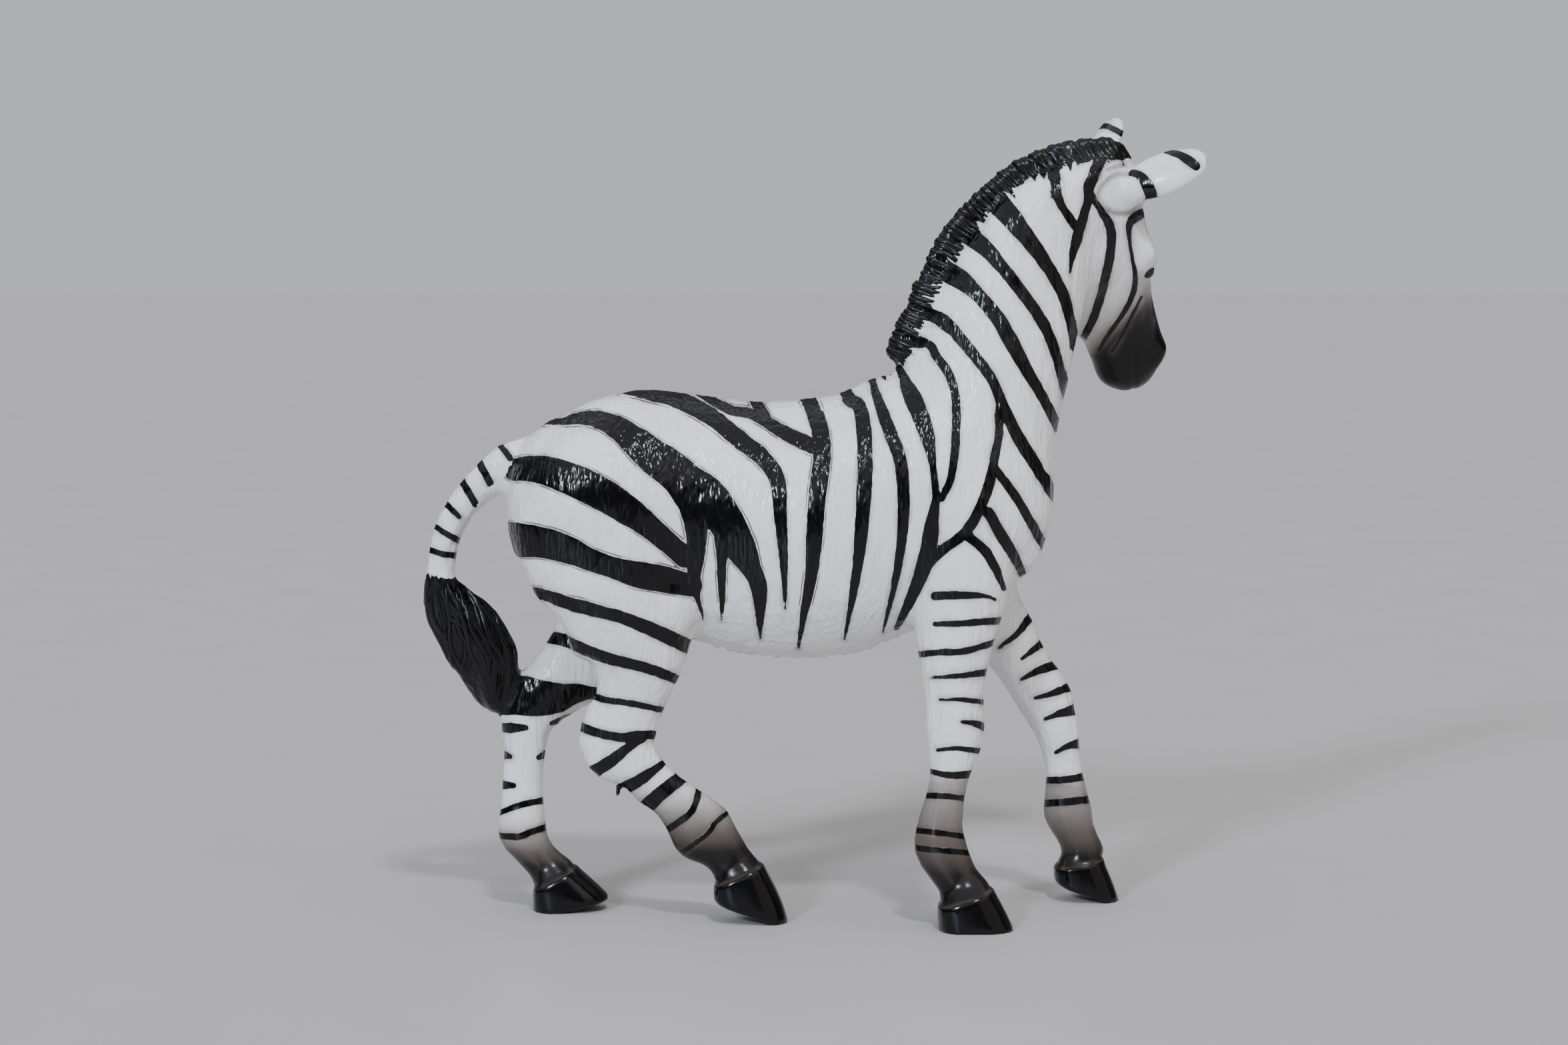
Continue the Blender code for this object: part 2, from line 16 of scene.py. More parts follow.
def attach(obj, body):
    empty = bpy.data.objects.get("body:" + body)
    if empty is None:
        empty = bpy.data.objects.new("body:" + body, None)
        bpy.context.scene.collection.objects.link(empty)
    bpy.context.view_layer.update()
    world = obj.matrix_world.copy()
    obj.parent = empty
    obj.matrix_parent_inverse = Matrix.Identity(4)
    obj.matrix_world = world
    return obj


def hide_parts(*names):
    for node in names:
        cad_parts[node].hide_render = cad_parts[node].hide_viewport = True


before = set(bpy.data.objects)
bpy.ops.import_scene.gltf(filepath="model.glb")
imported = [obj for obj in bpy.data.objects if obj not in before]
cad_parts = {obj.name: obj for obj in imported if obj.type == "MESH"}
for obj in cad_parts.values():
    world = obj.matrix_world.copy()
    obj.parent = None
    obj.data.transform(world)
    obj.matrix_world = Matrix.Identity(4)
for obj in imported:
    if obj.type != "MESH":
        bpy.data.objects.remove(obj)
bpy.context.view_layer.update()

bl_info = {
    "name": "Zebra figurine",
    "version": (1, 0, 0),
    "blender": (4, 5, 0),
    "location": "3D View > Sidebar > Zebra",
    "description": "Paints and details a cast plastic zebra, and lights it on a pale table",
    "category": "Object",
}

# The figurine is drawn in millimetres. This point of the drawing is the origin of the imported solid
DRAWING_ORIGIN = np.array([0.142, 4.805, -0.5])

# The photograph's view, as a place in the drawing in millimetres, and its frame in pixels
EYE = np.array([-4.05, -518.0, 98.2])
EYE_DROP = 5.0
FOCAL_PIXELS = 5778.0
FRAME_WIDTH, FRAME_HEIGHT = 2352, 1568
SENSOR_WIDTH = 36.0
# A stencil point is a photograph's pixel in millimetres: across from this column, up from this row
STENCIL_COLUMN, STENCIL_ROW = 1221.0, 1372.0
STENCIL_SCALE = 0.09

# The head hangs from the poll: it turns to the left, drops and leans, in degrees
POLL = np.array([37.5, 8.0, 99.3])
HEAD_TURN, HEAD_DROP, HEAD_LEAN = 61.5, 60.0, 31.0
# On the head X runs to the nose, Y to the left and Z out of the forehead
EAR_ROOT = np.array([2.5, -3.9, 3.2])
EAR_REACH = np.array([-0.18, -0.54, 0.82])
EYEBALL = np.array([14.3, -4.95, 2.7])
# An eye's length, width and height from its middle, in metres
EYE_RADII = (0.0014, 0.0011, 0.0010)

# The finished casting is thinned to this many triangles, most of them taken more than PLAIN_GAP
# millimetres from a stripe's edge
CASTING_TRIANGLES = 196000
PLAIN_GAP = 0.45
# Paint is looked for this far from the edge of a stroke, in millimetres
PAINT_REACH = 2.5
# The tuft is black up to this height. Above the next one the far legs' hidden outer sides have the near
# side's stripes. Stripes are outlined on the trunk and the near thigh, above a height and behind an x
TUFT_TOP = 46.4
FAR_LEG_TOP = 37
OUTLINED_ABOVE, OUTLINED_BEHIND = 43, 3
# The sole, the hooves and the pasterns reach up to these heights
SOLE_TOP, HOOF_TOP, PASTERN_TOP = 0.1, 7.5, 6

Stroke = namedtuple("Stroke", "widths points")
Bone = namedtuple("Bone", "points thickness")


# Stripes, as strokes of paint: their widths from end to end, and their stencil points

NECK_STRIPES = [
    Stroke((1.4, 1.2, 1.2, 1.2, 1.0), ((12.0, 77.4), (15.4, 77), (16.7, 75.2), (18.1, 73.2), (19, 70.5),
        (19.2, 67.7), (19, 62.2), (18.3, 58.4), (17.2, 56.2))),
    Stroke((2.2, 1.6, 1.4, 1.8, 1.5), ((13.3, 81.6), (16.2, 80.8), (18.1, 79.6), (20.3, 77.1), (22.5, 74.4),
        (24.2, 71.9), (25.4, 68.9), (27.6, 64.4), (29.9, 60.7), (32.5, 56.4))),
    Stroke((3.3, 2.6, 1.9, 2.0, 2.1, 1.6, 1.4, 1.3), ((15.6, 87.8), (19.4, 85.9), (22.1, 83.7), (24.8, 80.5),
        (26.9, 76.8), (28.9, 73.2), (31, 69.6), (33.0, 65.6))),
    Stroke((3.2, 2.3, 1.8, 1.6, 1.6, 1.5, 1.4, 1.3), ((19.2, 93), (22.6, 90.5), (25.3, 87.5), (28, 84.1),
        (30.3, 80.9), (32.1, 77.3), (33.3, 73.2), (34.5, 68.8))),
    Stroke((3.6, 2.7, 2.2, 1.8, 1.6, 1.4, 1.3), ((24.3, 97.2), (27.5, 93), (29.8, 90), (32.1, 86.6),
        (33.7, 83.4), (34.7, 80), (35.2, 76.6))),
]
POLL_STRIPES = [
    Stroke((1.8, 1.9, 1.5, 1.1, 1.3), ((31.9, 102), (32.6, 98.8), (32.9, 96.9), (34.1, 94.6), (35.3, 93))),
    Stroke((1.7, 1.6, 1.5, 1.2, 1.4, 1.5, 0.9, 0.3), ((38.6, 102.2), (37.8, 99.8), (37.1, 98.3), (37, 96.4),
        (36.3, 94.1), (35.6, 91.7), (34.9, 89), (34.5, 86.6))),
    Stroke((1.0, 1.1, 1.3), ((37.4, 97.2), (38.5, 95.6), (39.4, 94.1))),
]
CHEST_STRIPES = [
    Stroke((1.0, 1.2, 1.5, 1.4, 1.4), ((25.2, 70.2), (24.9, 67.6), (25, 65.1), (24.3, 61.4), (23.5, 57.7),
        (22, 54), (20.1, 51.3), (17.2, 49.1), (15.3, 47.2))),
    Stroke((1.2, 1.3, 1.2), ((24.6, 59.9), (26.9, 56.9), (29.1, 53.2), (31.4, 49.2))),
    Stroke((1.5, 1.6, 0.8), ((23.5, 54.3), (25.4, 51), (27.2, 48), (28.7, 44.6))),
    Stroke((1.3, 1.4, 0.7), ((20.9, 51), (23.1, 49.1), (24.6, 46.5), (25.6, 44))),
]
BARREL_STRIPES = [
    Stroke((1.2, 2.5, 2.2, 1.0, 1.0, 2.2, 2.2, 1.6, 0.8), ((11.6, 73.8), (13.4, 69.6), (14.9, 65.9),
        (15.8, 62.2), (16.3, 58.4), (16.4, 56.2), (16, 53.2), (15.3, 48.7), (13.8, 44.3), (11.2, 38.7))),
    Stroke((1.3, 1.8, 1.8, 1.5, 1.0, 0.3), ((7.7, 72.9), (8.3, 70.6), (9.7, 66.6), (11.6, 61.4), (12.1, 56.2),
        (11.8, 50.2), (10.8, 44.3), (9.3, 38.1))),
    Stroke((1.8, 2.1, 2.1, 1.8, 1.2, 0.3), ((3.7, 71.8), (4.8, 69.6), (6.3, 68.1), (6.9, 62.2), (6.6, 54.7),
        (6.1, 48.7), (5.2, 42.8), (4.1, 37.2))),
    Stroke((2.2, 2.4, 2.4, 2.2, 1.4, 0.4), ((-1.4, 71.2), (0.5, 66.6), (1.1, 62.2), (0.4, 56.2), (0, 50.2),
        (-0.4, 45.7), (-1.5, 39.8), (-2.1, 36))),
    Stroke((0.9, 1.3, 1.7, 2.2), ((-17.2, 71.4), (-13.4, 69.2), (-11.2, 68.1), (-8.2, 67.5), (-3.7, 64.9),
        (-0.4, 63.3))),
    Stroke((1.6, 1.5), ((-8.2, 71.4), (-8.0, 69.6), (-6.6, 67.2))),
    Stroke((1.8, 2.4, 2.4, 2.4, 2.0, 1.3, 0.3), ((-27.5, 71.6), (-23.4, 70.8), (-18.7, 69.6), (-14.2, 67.4),
        (-10.4, 64.4), (-6.7, 61.4), (-4.9, 58.4), (-4.5, 53.2), (-4.1, 48), (-3.9, 41.3))),
]
RUMP_STRIPES = [
    Stroke((0.3, 1.0, 1.9, 2.8, 3.6, 4.5, 5.0, 5.2, 5.2, 5.0, 4.8, 4.2, 2.6, 2.2, 1.3, 0.3), ((-37.2, 66.3),
        (-34.0, 66.6), (-31.5, 67.0), (-29, 66.8), (-26.5, 65.7), (-24.3, 64), (-22, 62.1), (-19.5, 60.3),
        (-17, 58.2), (-14.3, 56.4), (-11.8, 52.9), (-9.1, 47.9), (-7.7, 45.1), (-7.3, 42.5), (-7.3, 39.4),
        (-7.2, 37.3))),
    Stroke((4.4, 4.0, 3.4, 2.8, 2.3, 1.7, 0.7, 0.2), ((-18.4, 59), (-16.6, 55.6), (-15.9, 52.2),
        (-15.9, 48.8), (-16.2, 45.7), (-15.8, 43), (-15.2, 41), (-14.9, 39.6))),
    Stroke((1.8, 1.5, 1.3, 0.9, 0.3), ((-12.9, 53.0), (-12.5, 48.8), (-12.5, 45.6), (-12.4, 42.5),
        (-12.5, 39.7))),
    Stroke((3.0, 3.8, 4.3, 4.5, 4.4, 4.0, 3.3, 2.9, 2.9), ((-40.4, 60.0), (-39, 60.2), (-36.6, 60.0),
        (-33.4, 59.0), (-30.2, 57.6), (-27, 55.8), (-23.8, 53.6), (-20.5, 50.9), (-17.4, 48.2))),
    Stroke((4.8, 4.7, 4.2, 3.8, 3.0, 2.9, 3.7, 3.6, 3.0), ((-44, 50.8), (-40.6, 50.6), (-36.6, 50.2),
        (-33.4, 49.3), (-30.2, 47.9), (-27, 46.8), (-23.8, 45.9), (-20.5, 45.3), (-16.6, 44.4))),
    Stroke((1.4, 1.7, 1.9, 1.7, 1.7, 1.9, 2.0, 2.0, 1.6), ((-37.6, 43.5), (-35.4, 42.8), (-33.1, 42),
        (-29.7, 41.1), (-26, 40.1), (-22.4, 38.7), (-18.7, 37), (-16.6, 36), (-14.6, 35))),
    Stroke((1.5, 1.6, 1.6, 1.5, 1.4, 1.2), ((-33.4, 36.9), (-30.5, 35.6), (-27.9, 34.6), (-24.2, 33.7),
        (-21.2, 32.8), (-17.4, 31.2))),
]
NEAR_LEG_STRIPES = [
    Stroke((0.9, 0.9, 0.8), ((-31.5, 30.2), (-28.3, 29.0), (-25.4, 28.6), (-19.8, 27.5))),
    Stroke((1.2, 1.2, 1.3, 1.1), ((-32.8, 25.9), (-29.5, 24.6), (-26, 23.9), (-23.5, 24.2), (-19.4, 24.2))),
    Stroke((0.8, 1.3, 1.7, 1.8), ((-22.9, 23.8), (-25, 22.6), (-27, 21.0), (-29.8, 19.2))),
    Stroke((1.9, 1.5, 0.7), ((-26.3, 16.6), (-23, 18.5), (-19.6, 21.0))),
    Stroke((2.1, 2.0, 1.8), ((-23.2, 14), (-20.5, 16.5), (-17.4, 18.9))),
    Stroke((0.9, 0.9, 0.9), ((-20.6, 10.9), (-17.5, 13), (-16.2, 14.5), (-15.4, 17.4))),
    Stroke((0.6, 0.7, 0.6), ((-17.8, 8.3), (-14.5, 10.8), (-13.2, 12.5), (-10.8, 14.4))),
    Stroke((1.2, 1.1, 0.4), ((16.3, 43), (19.5, 43.1), (23, 43), (24.5, 42.5))),
    Stroke((0.7, 1.0, 1.0), ((16.3, 39.2), (20, 39.3), (25.2, 39.7))),
    Stroke((0.9, 0.9, 0.9), ((13.2, 35), (17, 35.4), (20.5, 35.6), (25.2, 37))),
    Stroke((0.4, 0.8, 1.1), ((15.8, 32), (19.5, 32.2), (24.8, 32.9))),
    Stroke((0.4, 0.7, 0.8), ((17, 29), (20, 29), (24.6, 28.4))),
    Stroke((0.5, 1.0, 1.1), ((20, 26), (22, 25.7), (24.4, 24.6))),
    Stroke((0.5, 0.8, 0.9), ((16.7, 22.2), (19.5, 22.4), (24, 21.8))),
    Stroke((0.7, 1.0, 1.2), ((15.8, 19.3), (18.5, 18.8), (22.4, 19))),
    Stroke((0.8, 0.8, 0.8), ((13.6, 16), (17.5, 16), (22, 15.4))),
    Stroke((0.7, 0.8, 0.7), ((12, 11.5), (17, 11), (22.2, 10.2))),
    Stroke((0.8, 0.8, 0.8), ((12, 9.1), (16.5, 8.7), (21, 8.3))),
]
FAR_FORE_STRIPES = [
    Stroke((0.5, 1.2), ((25, 36), (27.5, 38), (29.5, 40.6))),
    Stroke((0.45, 1.3), ((28.0, 34.5), (31.6, 37.2))),
    Stroke((0.45, 1.2, 1.3), ((28.0, 31.7), (30.5, 33), (34.2, 34.1))),
    Stroke((0.45, 1.0, 1.4), ((29.8, 29.2), (32, 29.8), (35.6, 31.1))),
    Stroke((0.45, 1.3, 2.2), ((31.2, 26.4), (33.5, 27.2), (37.4, 28.2))),
    Stroke((0.45, 1.1, 2.0), ((32.5, 21.8), (34.5, 22.8), (37.6, 23.4))),
    Stroke((0.9, 1.0, 1.1), ((30.2, 18.1), (34, 18.2), (38.4, 19))),
    Stroke((0.9, 1.0, 1.0), ((30, 14.9), (34, 15.2), (39, 15.7))),
]
FAR_HIND_STRIPES = [
    Stroke((1.6, 1.8, 1.8), ((-39, 38.3), (-36, 37.5), (-33, 36.8), (-27, 34.4))),
    Stroke((5.4, 5.4, 4.8, 3.2, 1.7, 1.3), ((-42.6, 29.6), (-39.8, 29.6), (-37, 29.2), (-34.5, 29.3),
        (-31.3, 29.9), (-27, 29.6))),
    Stroke((1.2, 1.4, 0.8), ((-42.6, 25.2), (-40.5, 25.2), (-38.9, 25.2))),
    Stroke((0.7, 1.0, 1.0), ((-35.4, 25.8), (-34, 26.3), (-31.6, 27))),
    Stroke((1.0, 1.2, 0.7), ((-43.4, 21.6), (-41.8, 21.5), (-41.0, 21.3))),
    Stroke((0.7, 1.0, 1.0), ((-37.2, 21.2), (-36.5, 21.5), (-35, 22.2))),
    Stroke((1.0, 1.2, 0.8), ((-43.4, 17.6), (-41.8, 17.5), (-40.6, 17.4))),
    Stroke((0.7, 0.9, 0.9), ((-43.6, 13.2), (-39.5, 14.8), (-34.8, 15.7))),
    Stroke((0.9, 0.9, 0.9), ((-43.6, 10.7), (-40, 10.5), (-38, 11.2), (-34.8, 12.2))),
]
TAIL_STRIPES = [
    Stroke((0.8, 0.9), ((-42.4, 63.4), (-41.0, 61.6))),
    Stroke((1.0, 1.0), ((-45.4, 61.4), (-43.0, 56.9))),
    Stroke((1.0, 1.0), ((-47.9, 59.2), (-45.7, 55.4))),
    Stroke((1.0, 0.7), ((-50.5, 56.2), (-47.9, 53.7))),
    Stroke((0.8, 0.9), ((-52.2, 53.1), (-49.8, 51.5), (-48.0, 50.5))),
    Stroke((0.8, 0.9), ((-52.8, 49.6), (-50.3, 48.7), (-48.0, 48.4))),
]
CHEEK_STRIPES = [
    Stroke((1.1, 1.3, 1.3, 1.3, 1.2, 1.15, 1.1, 0.9), ((38.5, 95.6), (39.4, 94.1), (40.1, 92.2), (40.1, 90),
        (39.6, 87.3), (38.9, 84.2), (38, 81.2), (37, 79), (35.8, 76.9))),
    Stroke((1.2, 1.1, 0.6, 0.5, 0.6, 0.8, 0.8, 0.7, 0.6, 0.6, 0.5), ((44.6, 94.7), (43.6, 94.1), (42.6, 93.2),
        (42.6, 91.2), (42.9, 89), (43.3, 86.9), (43.3, 84.9), (42.7, 82.9), (41.3, 80.5), (39.6, 78.1),
        (38.5, 76.2))),
    Stroke((0.4, 0.5, 0.4), ((44.2, 83.4), (43.1, 81.2), (41.8, 78.6), (40.3, 75.9))),
]
EAR_COLLAR = Stroke((0.9, 1.4, 1.7, 1.6, 1.5), ((43.0, 100.2), (44.1, 99.7), (45.1, 98.3), (45.5, 96.8),
    (45.4, 94.9)))
NEAR_EAR_STRIPES = [
    EAR_COLLAR,
    Stroke((0.5, 1.0, 1.3, 1.3), ((47.4, 103.0), (49.3, 102.6), (50.4, 101.9), (51.5, 101.1))),
]
FAR_EAR_STRIPES = [
    Stroke((0.8, 0.8, 0.9), ((37.2, 106.1), (38.5, 106.4), (39.7, 106.4), (42, 105.2))),
]
# On the front of the face: how far to the nose, and the distance from its middle line
FACE_STRIPES = [
    Stroke((0.4, 0.8, 0.8, 0.4), ((1.5, 0.7), (8, 0.7), (14, 0.6), (20, 0.4))),
    Stroke((0.4, 0.8, 0.8, 0.4), ((3.0, 2.1), (8, 2.2), (14, 1.9), (20.5, 1.2))),
]
# Balls that round off the solid, as a middle and radii: the root of an ear from EAR_ROOT, a burr on the hock
EAR_BALL = ((-0.3, -0.1, -0.2), (2.8, 2.8, 2.8))
HOCK_BURR = ((-26.3, -7.0, 17.4), (0.38, 0.4, 0.8))
# Swellings of the face on its right side: the middle, the radius and the height
SWELLINGS = [
    ((20.2, -1.8, -7.6), 2.6, 1.0),
    ((26.2, -0.6, -6.0), 2.6, 0.2),
]
# The hollow behind the near thigh: the middle, the radius and the depth
THIGH_HOLLOW = ((-35.0, -8.0, 39.6), 3.6, 1.9)
# Where the black hair of the mane ends on the neck, from the withers to the forelock
HAIRLINE = ((8.6, 72.4), (11.5, 74.2), (13.4, 76.6), (14.0, 79.4), (14.9, 82.6), (16.6, 86.2), (19.2, 89.9),
    (22.4, 93.6), (25.4, 96.7), (28.6, 99.0), (32.2, 100.4), (36, 101.4), (39.5, 102.1), (43.6, 102.0))

# The middle lines of the parts of the body and how thick each is there, to tell them apart
BONES = {
    "mane": Bone(((11.7, 0.0, 73), (15.0, 0.7, 79.7), (18.7, 2.0, 87.8), (24.8, 4.0, 94.9),
        (32.9, 6.4, 99.7), (37.3, 7.6, 100.6), (42.6, 9.7, 99.8)), (3, 4.5, 5, 5, 4.5, 3, 2)),
    "trunk": Bone(((-40, 0, 55), (-30, 0, 55.4), (-9, 0, 52.3), (5, 0, 53), (18, 0, 57), (28, 0, 57)),
        (8, 15, 16, 16, 15, 10)),
    "neck": Bone(((18.5, 0, 60), (20.8, 0.2, 66.5), (23, 0.8, 72.5), (25.8, 2, 80), (28.9, 3.8, 87),
        (32.2, 5.6, 92.6), (35, 7.0, 95.4)), (11, 11, 10, 9, 8.4, 7.4, 5.6)),
    "near fore": Bone(((19.8, -7.4, 48), (18.7, -8.5, 38), (18.7, -9.4, 26), (17.9, -9.6, 19),
        (16.7, -9.8, 13), (19.1, -10.7, 6), (21.6, -11, 0)), (6, 5, 4, 3, 3, 3, 5)),
    "far fore": Bone(((22, 7, 47), (26.2, 8.2, 37), (31.8, 8.7, 28), (34.5, 8.9, 18.6), (35.2, 9.4, 12),
        (37.1, 10, 7), (38, 10.2, 1)), (5.5, 4.4, 3.6, 3, 3, 3, 4.4)),
    "near hind": Bone(((-26.7, -7.6, 47), (-23.8, -7.5, 36.6), (-24.8, -7, 29), (-26, -6.8, 24.4),
        (-21.6, -6.5, 18.3), (-14.9, -6.1, 11.7), (-11.2, -5.9, 7.6), (-8.3, -5.8, 1)),
        (10, 7, 5, 5, 3, 4, 3, 5)),
    "far hind": Bone(((-27.4, 7.6, 46), (-29.6, 6.9, 36.6), (-36.6, 5.3, 29), (-39.5, 4.6, 22),
        (-39.8, 3.8, 13), (-38.1, 3.3, 7.2), (-33, 3, 1)), (8.6, 6, 4.4, 3, 3, 3, 5)),
    "tail": Bone(((-41.4, 0.2, 60.6), (-43.6, 0.5, 59), (-46.7, 0.9, 56.2), (-48.9, 1.3, 53),
        (-50.1, 1.8, 49.6), (-50.6, 2.2, 46)), (4.2, 4.2, 3, 2, 2, 2)),
    "tuft": Bone(((-50.8, 2.4, 44.8), (-49.7, 2.9, 41.4), (-47.1, 3.4, 37.8), (-44.8, 3.9, 34.2),
        (-43.6, 4.4, 30.8), (-43, 4.8, 28.6)), (2.2, 3.4, 4.2, 4.2, 3.4, 2.0)),
}
# The turn and roll of the neck and the mane at each of their bones' points, in degrees
TURNS = {
    "neck": ((0, 0), (0, 0), (5, 2), (14, 5), (25, 9), (36, 13), (42, 15)),
    "mane": ((0, 0), (5, 2), (14, 5), (27, 10), (40, 15), (45, 17), (47, 17)),
}

# The crest of the mane: a place in the drawing, the turn and roll of the neck there, and its fullness
CREST = (
    (11.7, 0.0, 74.2, 0, 0, 0.8),
    (13.1, 0.2, 77.3, 2, 1, 1.0),
    (15.0, 0.7, 80.9, 5, 2, 1.0),
    (16.7, 1.3, 84.8, 9, 3, 1.0),
    (18.7, 2.0, 89.0, 14, 5, 1.0),
    (21.3, 2.9, 92.9, 20, 7, 1.0),
    (24.8, 4.0, 96.1, 27, 10, 1.0),
    (28.6, 5.2, 99.2, 34, 12, 1.0),
    (32.9, 6.4, 100.9, 40, 15, 1.0),
    (37.3, 7.6, 101.8, 45, 17, 1.0),
    (40.2, 8.6, 101.8, 47, 17, 0.9),
)

# Each hoof's coronet, as heel x, heel z, toe x, toe z, and the leg it belongs to
CORONETS = {
    "near fore": (16.4, 2.5, 23.9, 4.9),
    "far fore": (33.4, 4.0, 40.2, 5.2),
    "near hind": (-13.4, 4.4, -6.8, 7.3),
    "far hind": (-38.4, 2.2, -32.4, 5.4),
}
# How much grey is sprayed on each leg at a height above the drawing's zero, from the hoof up
LEG_SPRAY = {
    "near fore": ((3, 1), (5, 0.93), (9, 0.72), (15, 0.5), (19.4, 0.36), (20.3, 0)),
    "far fore": ((3.6, 1), (6, 0.82), (9.4, 0.62), (13.2, 0.47), (16.0, 0.4), (17.0, 0)),
    "near hind": ((6, 1), (9, 0.86), (12, 0.62), (15, 0.38), (19, 0)),
    "far hind": ((5, 0.9), (7.5, 0.66), (10, 0.36), (12, 0.12), (14, 0)),
}
# How dark the face is by how far down it lies, along a line that leans back by 45 degrees
FACE_SPRAY = ((-31.4, 0), (-29.6, 0.2), (-28, 0.42), (-26.8, 0.82), (-25.6, 1))
# Lines of the face on its right side
MOUTH = ((33.2, 0, -1.9), (32.4, -1.9, -2.0), (30.6, -3.2, -2.1), (28.2, -3.9, -2.0), (25.6, -4.1, -1.5))
NOSTRIL = ((31.2, -1.9, 1.5), (30.4, -2.9, 2.1), (29.4, -3.4, 3.0), (28.8, -2.9, 3.6))
# Folds pressed into the plastic, as stencil points: round the root of the ear, and beside the forelock
FOLDS = [
    ((42.5, 100.1), (40.7, 99.7), (39.4, 98.6), (38.7, 97.4), (38.7, 96.2), (39.5, 95.1), (41, 94.5),
        (42.7, 94.6), (44.1, 95.4)),
    ((38.9, 99.6), (39.2, 101.0), (40.1, 101.9), (41.7, 102.3)),
    ((39.6, 100.6), (41, 101.0), (42.3, 101.4)),
]
FOLD_DEPTH, FOLD_WIDTH = 0.42, 0.42
# Beside a coronet: a place above it, a half width and a height, for its raised rim and the groove over it
CORONET_RIM = (-0.3, 0.5, 0.06)
CORONET_GROOVE = (0.55, 0.35, -0.12)
# The knobs of the mane: how far apart they are and how high
KNOB_SPACING, KNOB_HEIGHT = 1.95, 0.5
# The torn flash that the mould's seam left under the belly: its height and half width
FLASH_HEIGHT, FLASH_WIDTH = 0.5, 0.4
# The tuft's upper end, and its radius there
TUFT_ROOT, TUFT_ROOT_RADIUS = (-50.6, 2.2, 46.4), 2.0
# A lock's ends hang this far below its middle, its middle stands this high over the crest's path, and it
# reaches this far to each side, in metres. A strand of the tail lies this deep in the casting
LOCK_REACH, CREST_HEIGHT, LOCK_WIDTH = 0.0046, 0.0031, 0.0027
STRAND_SINK = 0.00016
# Two layers of locks: how far apart they are as a share of the spacing, how full they are, how long they
# are at the least and at the most, and how far they lean. The first is gathered in knobs instead
LOCK_LAYERS = ((1.0, None, 0.72, 1.12, 0.14), (1.25, 0.86, 0.85, 1.3, 0.22))
# The lights: their names, ways, widths in degrees, strengths and colours
LIGHTS = (
    ("window", (-0.42, -0.8, 0.42), 7, 1.7, "E2EBFF"),
    ("ceiling lamp", (0.15, -0.62, 0.77), 6, 1.3, "F4F6FF"),
    ("soft ceiling", (-0.1, -0.2, 1.0), 120, 2.0, "F8F8FF"),
    ("fill", (0.8, -0.5, 0.25), 60, 0.4, "FFF2E6"),
)
# The light from all round: its strength on the figurine, and as the camera sees it behind the floor
AIR_STRENGTH, AIR_SEEN = 0.17, 0.88


def linear(code):
    """An sRGB hex colour as linear red, green, blue and a full alpha."""
    values = [int(code[start : start + 2], 16) / 255 for start in (0, 2, 4)]
    return (*[v / 12.92 if v <= 0.04045 else ((v + 0.055) / 1.055) ** 2.4 for v in values], 1.0)


class CastingSettings(bpy.types.PropertyGroup):
    grain: bpy.props.FloatProperty(
        name="Surface step", description="Distance between the points of the refined surface",
        default=0.000345, min=0.0003, unit="LENGTH", precision=6)
    hair_relief: bpy.props.FloatProperty(
        name="Hair relief", description="Height of the moulded coat's ridges",
        default=0.0001, min=0.0, unit="LENGTH", precision=6)
    hair_pitch: bpy.props.FloatProperty(
        name="Hair pitch", description="Width of one ridge of the moulded coat",
        default=0.0008, min=0.0003, unit="LENGTH", precision=6)
    outline_depth: bpy.props.FloatProperty(
        name="Outline depth", description="Depth of the line engraved round each body stripe",
        default=0.00008, min=0.0, unit="LENGTH", precision=6)
    outline_gap: bpy.props.FloatProperty(
        name="Outline gap", description="Distance from the paint's edge to the engraved line",
        default=0.00040, min=0.0, unit="LENGTH", precision=6)


class PaintSettings(bpy.types.PropertyGroup):
    white: bpy.props.FloatVectorProperty(
        name="White", description="Colour of the bare plastic", size=4, subtype="COLOR",
        default=linear("F2F2F0"))
    black: bpy.props.FloatVectorProperty(
        name="Black", description="Colour of the painted stripes", size=4, subtype="COLOR",
        default=linear("060607"))
    # Brown of the engraved lines and the stripes' edges, and of the painted shade in the creases
    wash_and_crease_shade: bpy.props.FloatVectorProperty(
        name="Wash", description="Colour of the brown left in engraved lines and creases", size=4,
        subtype="COLOR", default=linear("5A4C42"))
    spray: bpy.props.FloatVectorProperty(
        name="Spray", description="Colour of the grey sprayed on the lower legs and the face", size=4,
        subtype="COLOR", default=linear("9C9692"))


class ManeSettings(bpy.types.PropertyGroup):
    lock_spacing: bpy.props.FloatProperty(
        name="Lock spacing", description="Distance between two locks along the crest",
        default=0.00066, min=0.0004, unit="LENGTH", precision=6)
    lock_thickness: bpy.props.FloatProperty(
        name="Lock thickness", description="Half the thickness of a lock at the crest",
        default=0.00043, min=0.0001, unit="LENGTH", precision=6)
    lock_sink: bpy.props.FloatProperty(
        name="Lock sink", description="How deep the middle of a lock lies under the casting's surface",
        default=0.00022, unit="LENGTH", precision=6)
    seed: bpy.props.IntProperty(
        name="Seed", description="Which set of small differences the locks have", default=4)


class TailSettings(bpy.types.PropertyGroup):
    strands: bpy.props.IntProperty(
        name="Strands", description="Number of strands round the tuft", default=30, min=6)
    strand_thickness: bpy.props.FloatProperty(
        name="Strand thickness", description="Half the thickness of a strand",
        default=0.00040, min=0.0001, unit="LENGTH", precision=6)
    twist: bpy.props.FloatProperty(
        name="Twist", description="How far a strand winds round the tuft from its root to its tip",
        default=math.radians(75), unit="ROTATION")
    seed: bpy.props.IntProperty(
        name="Seed", description="Which set of small differences the strands have", default=7)


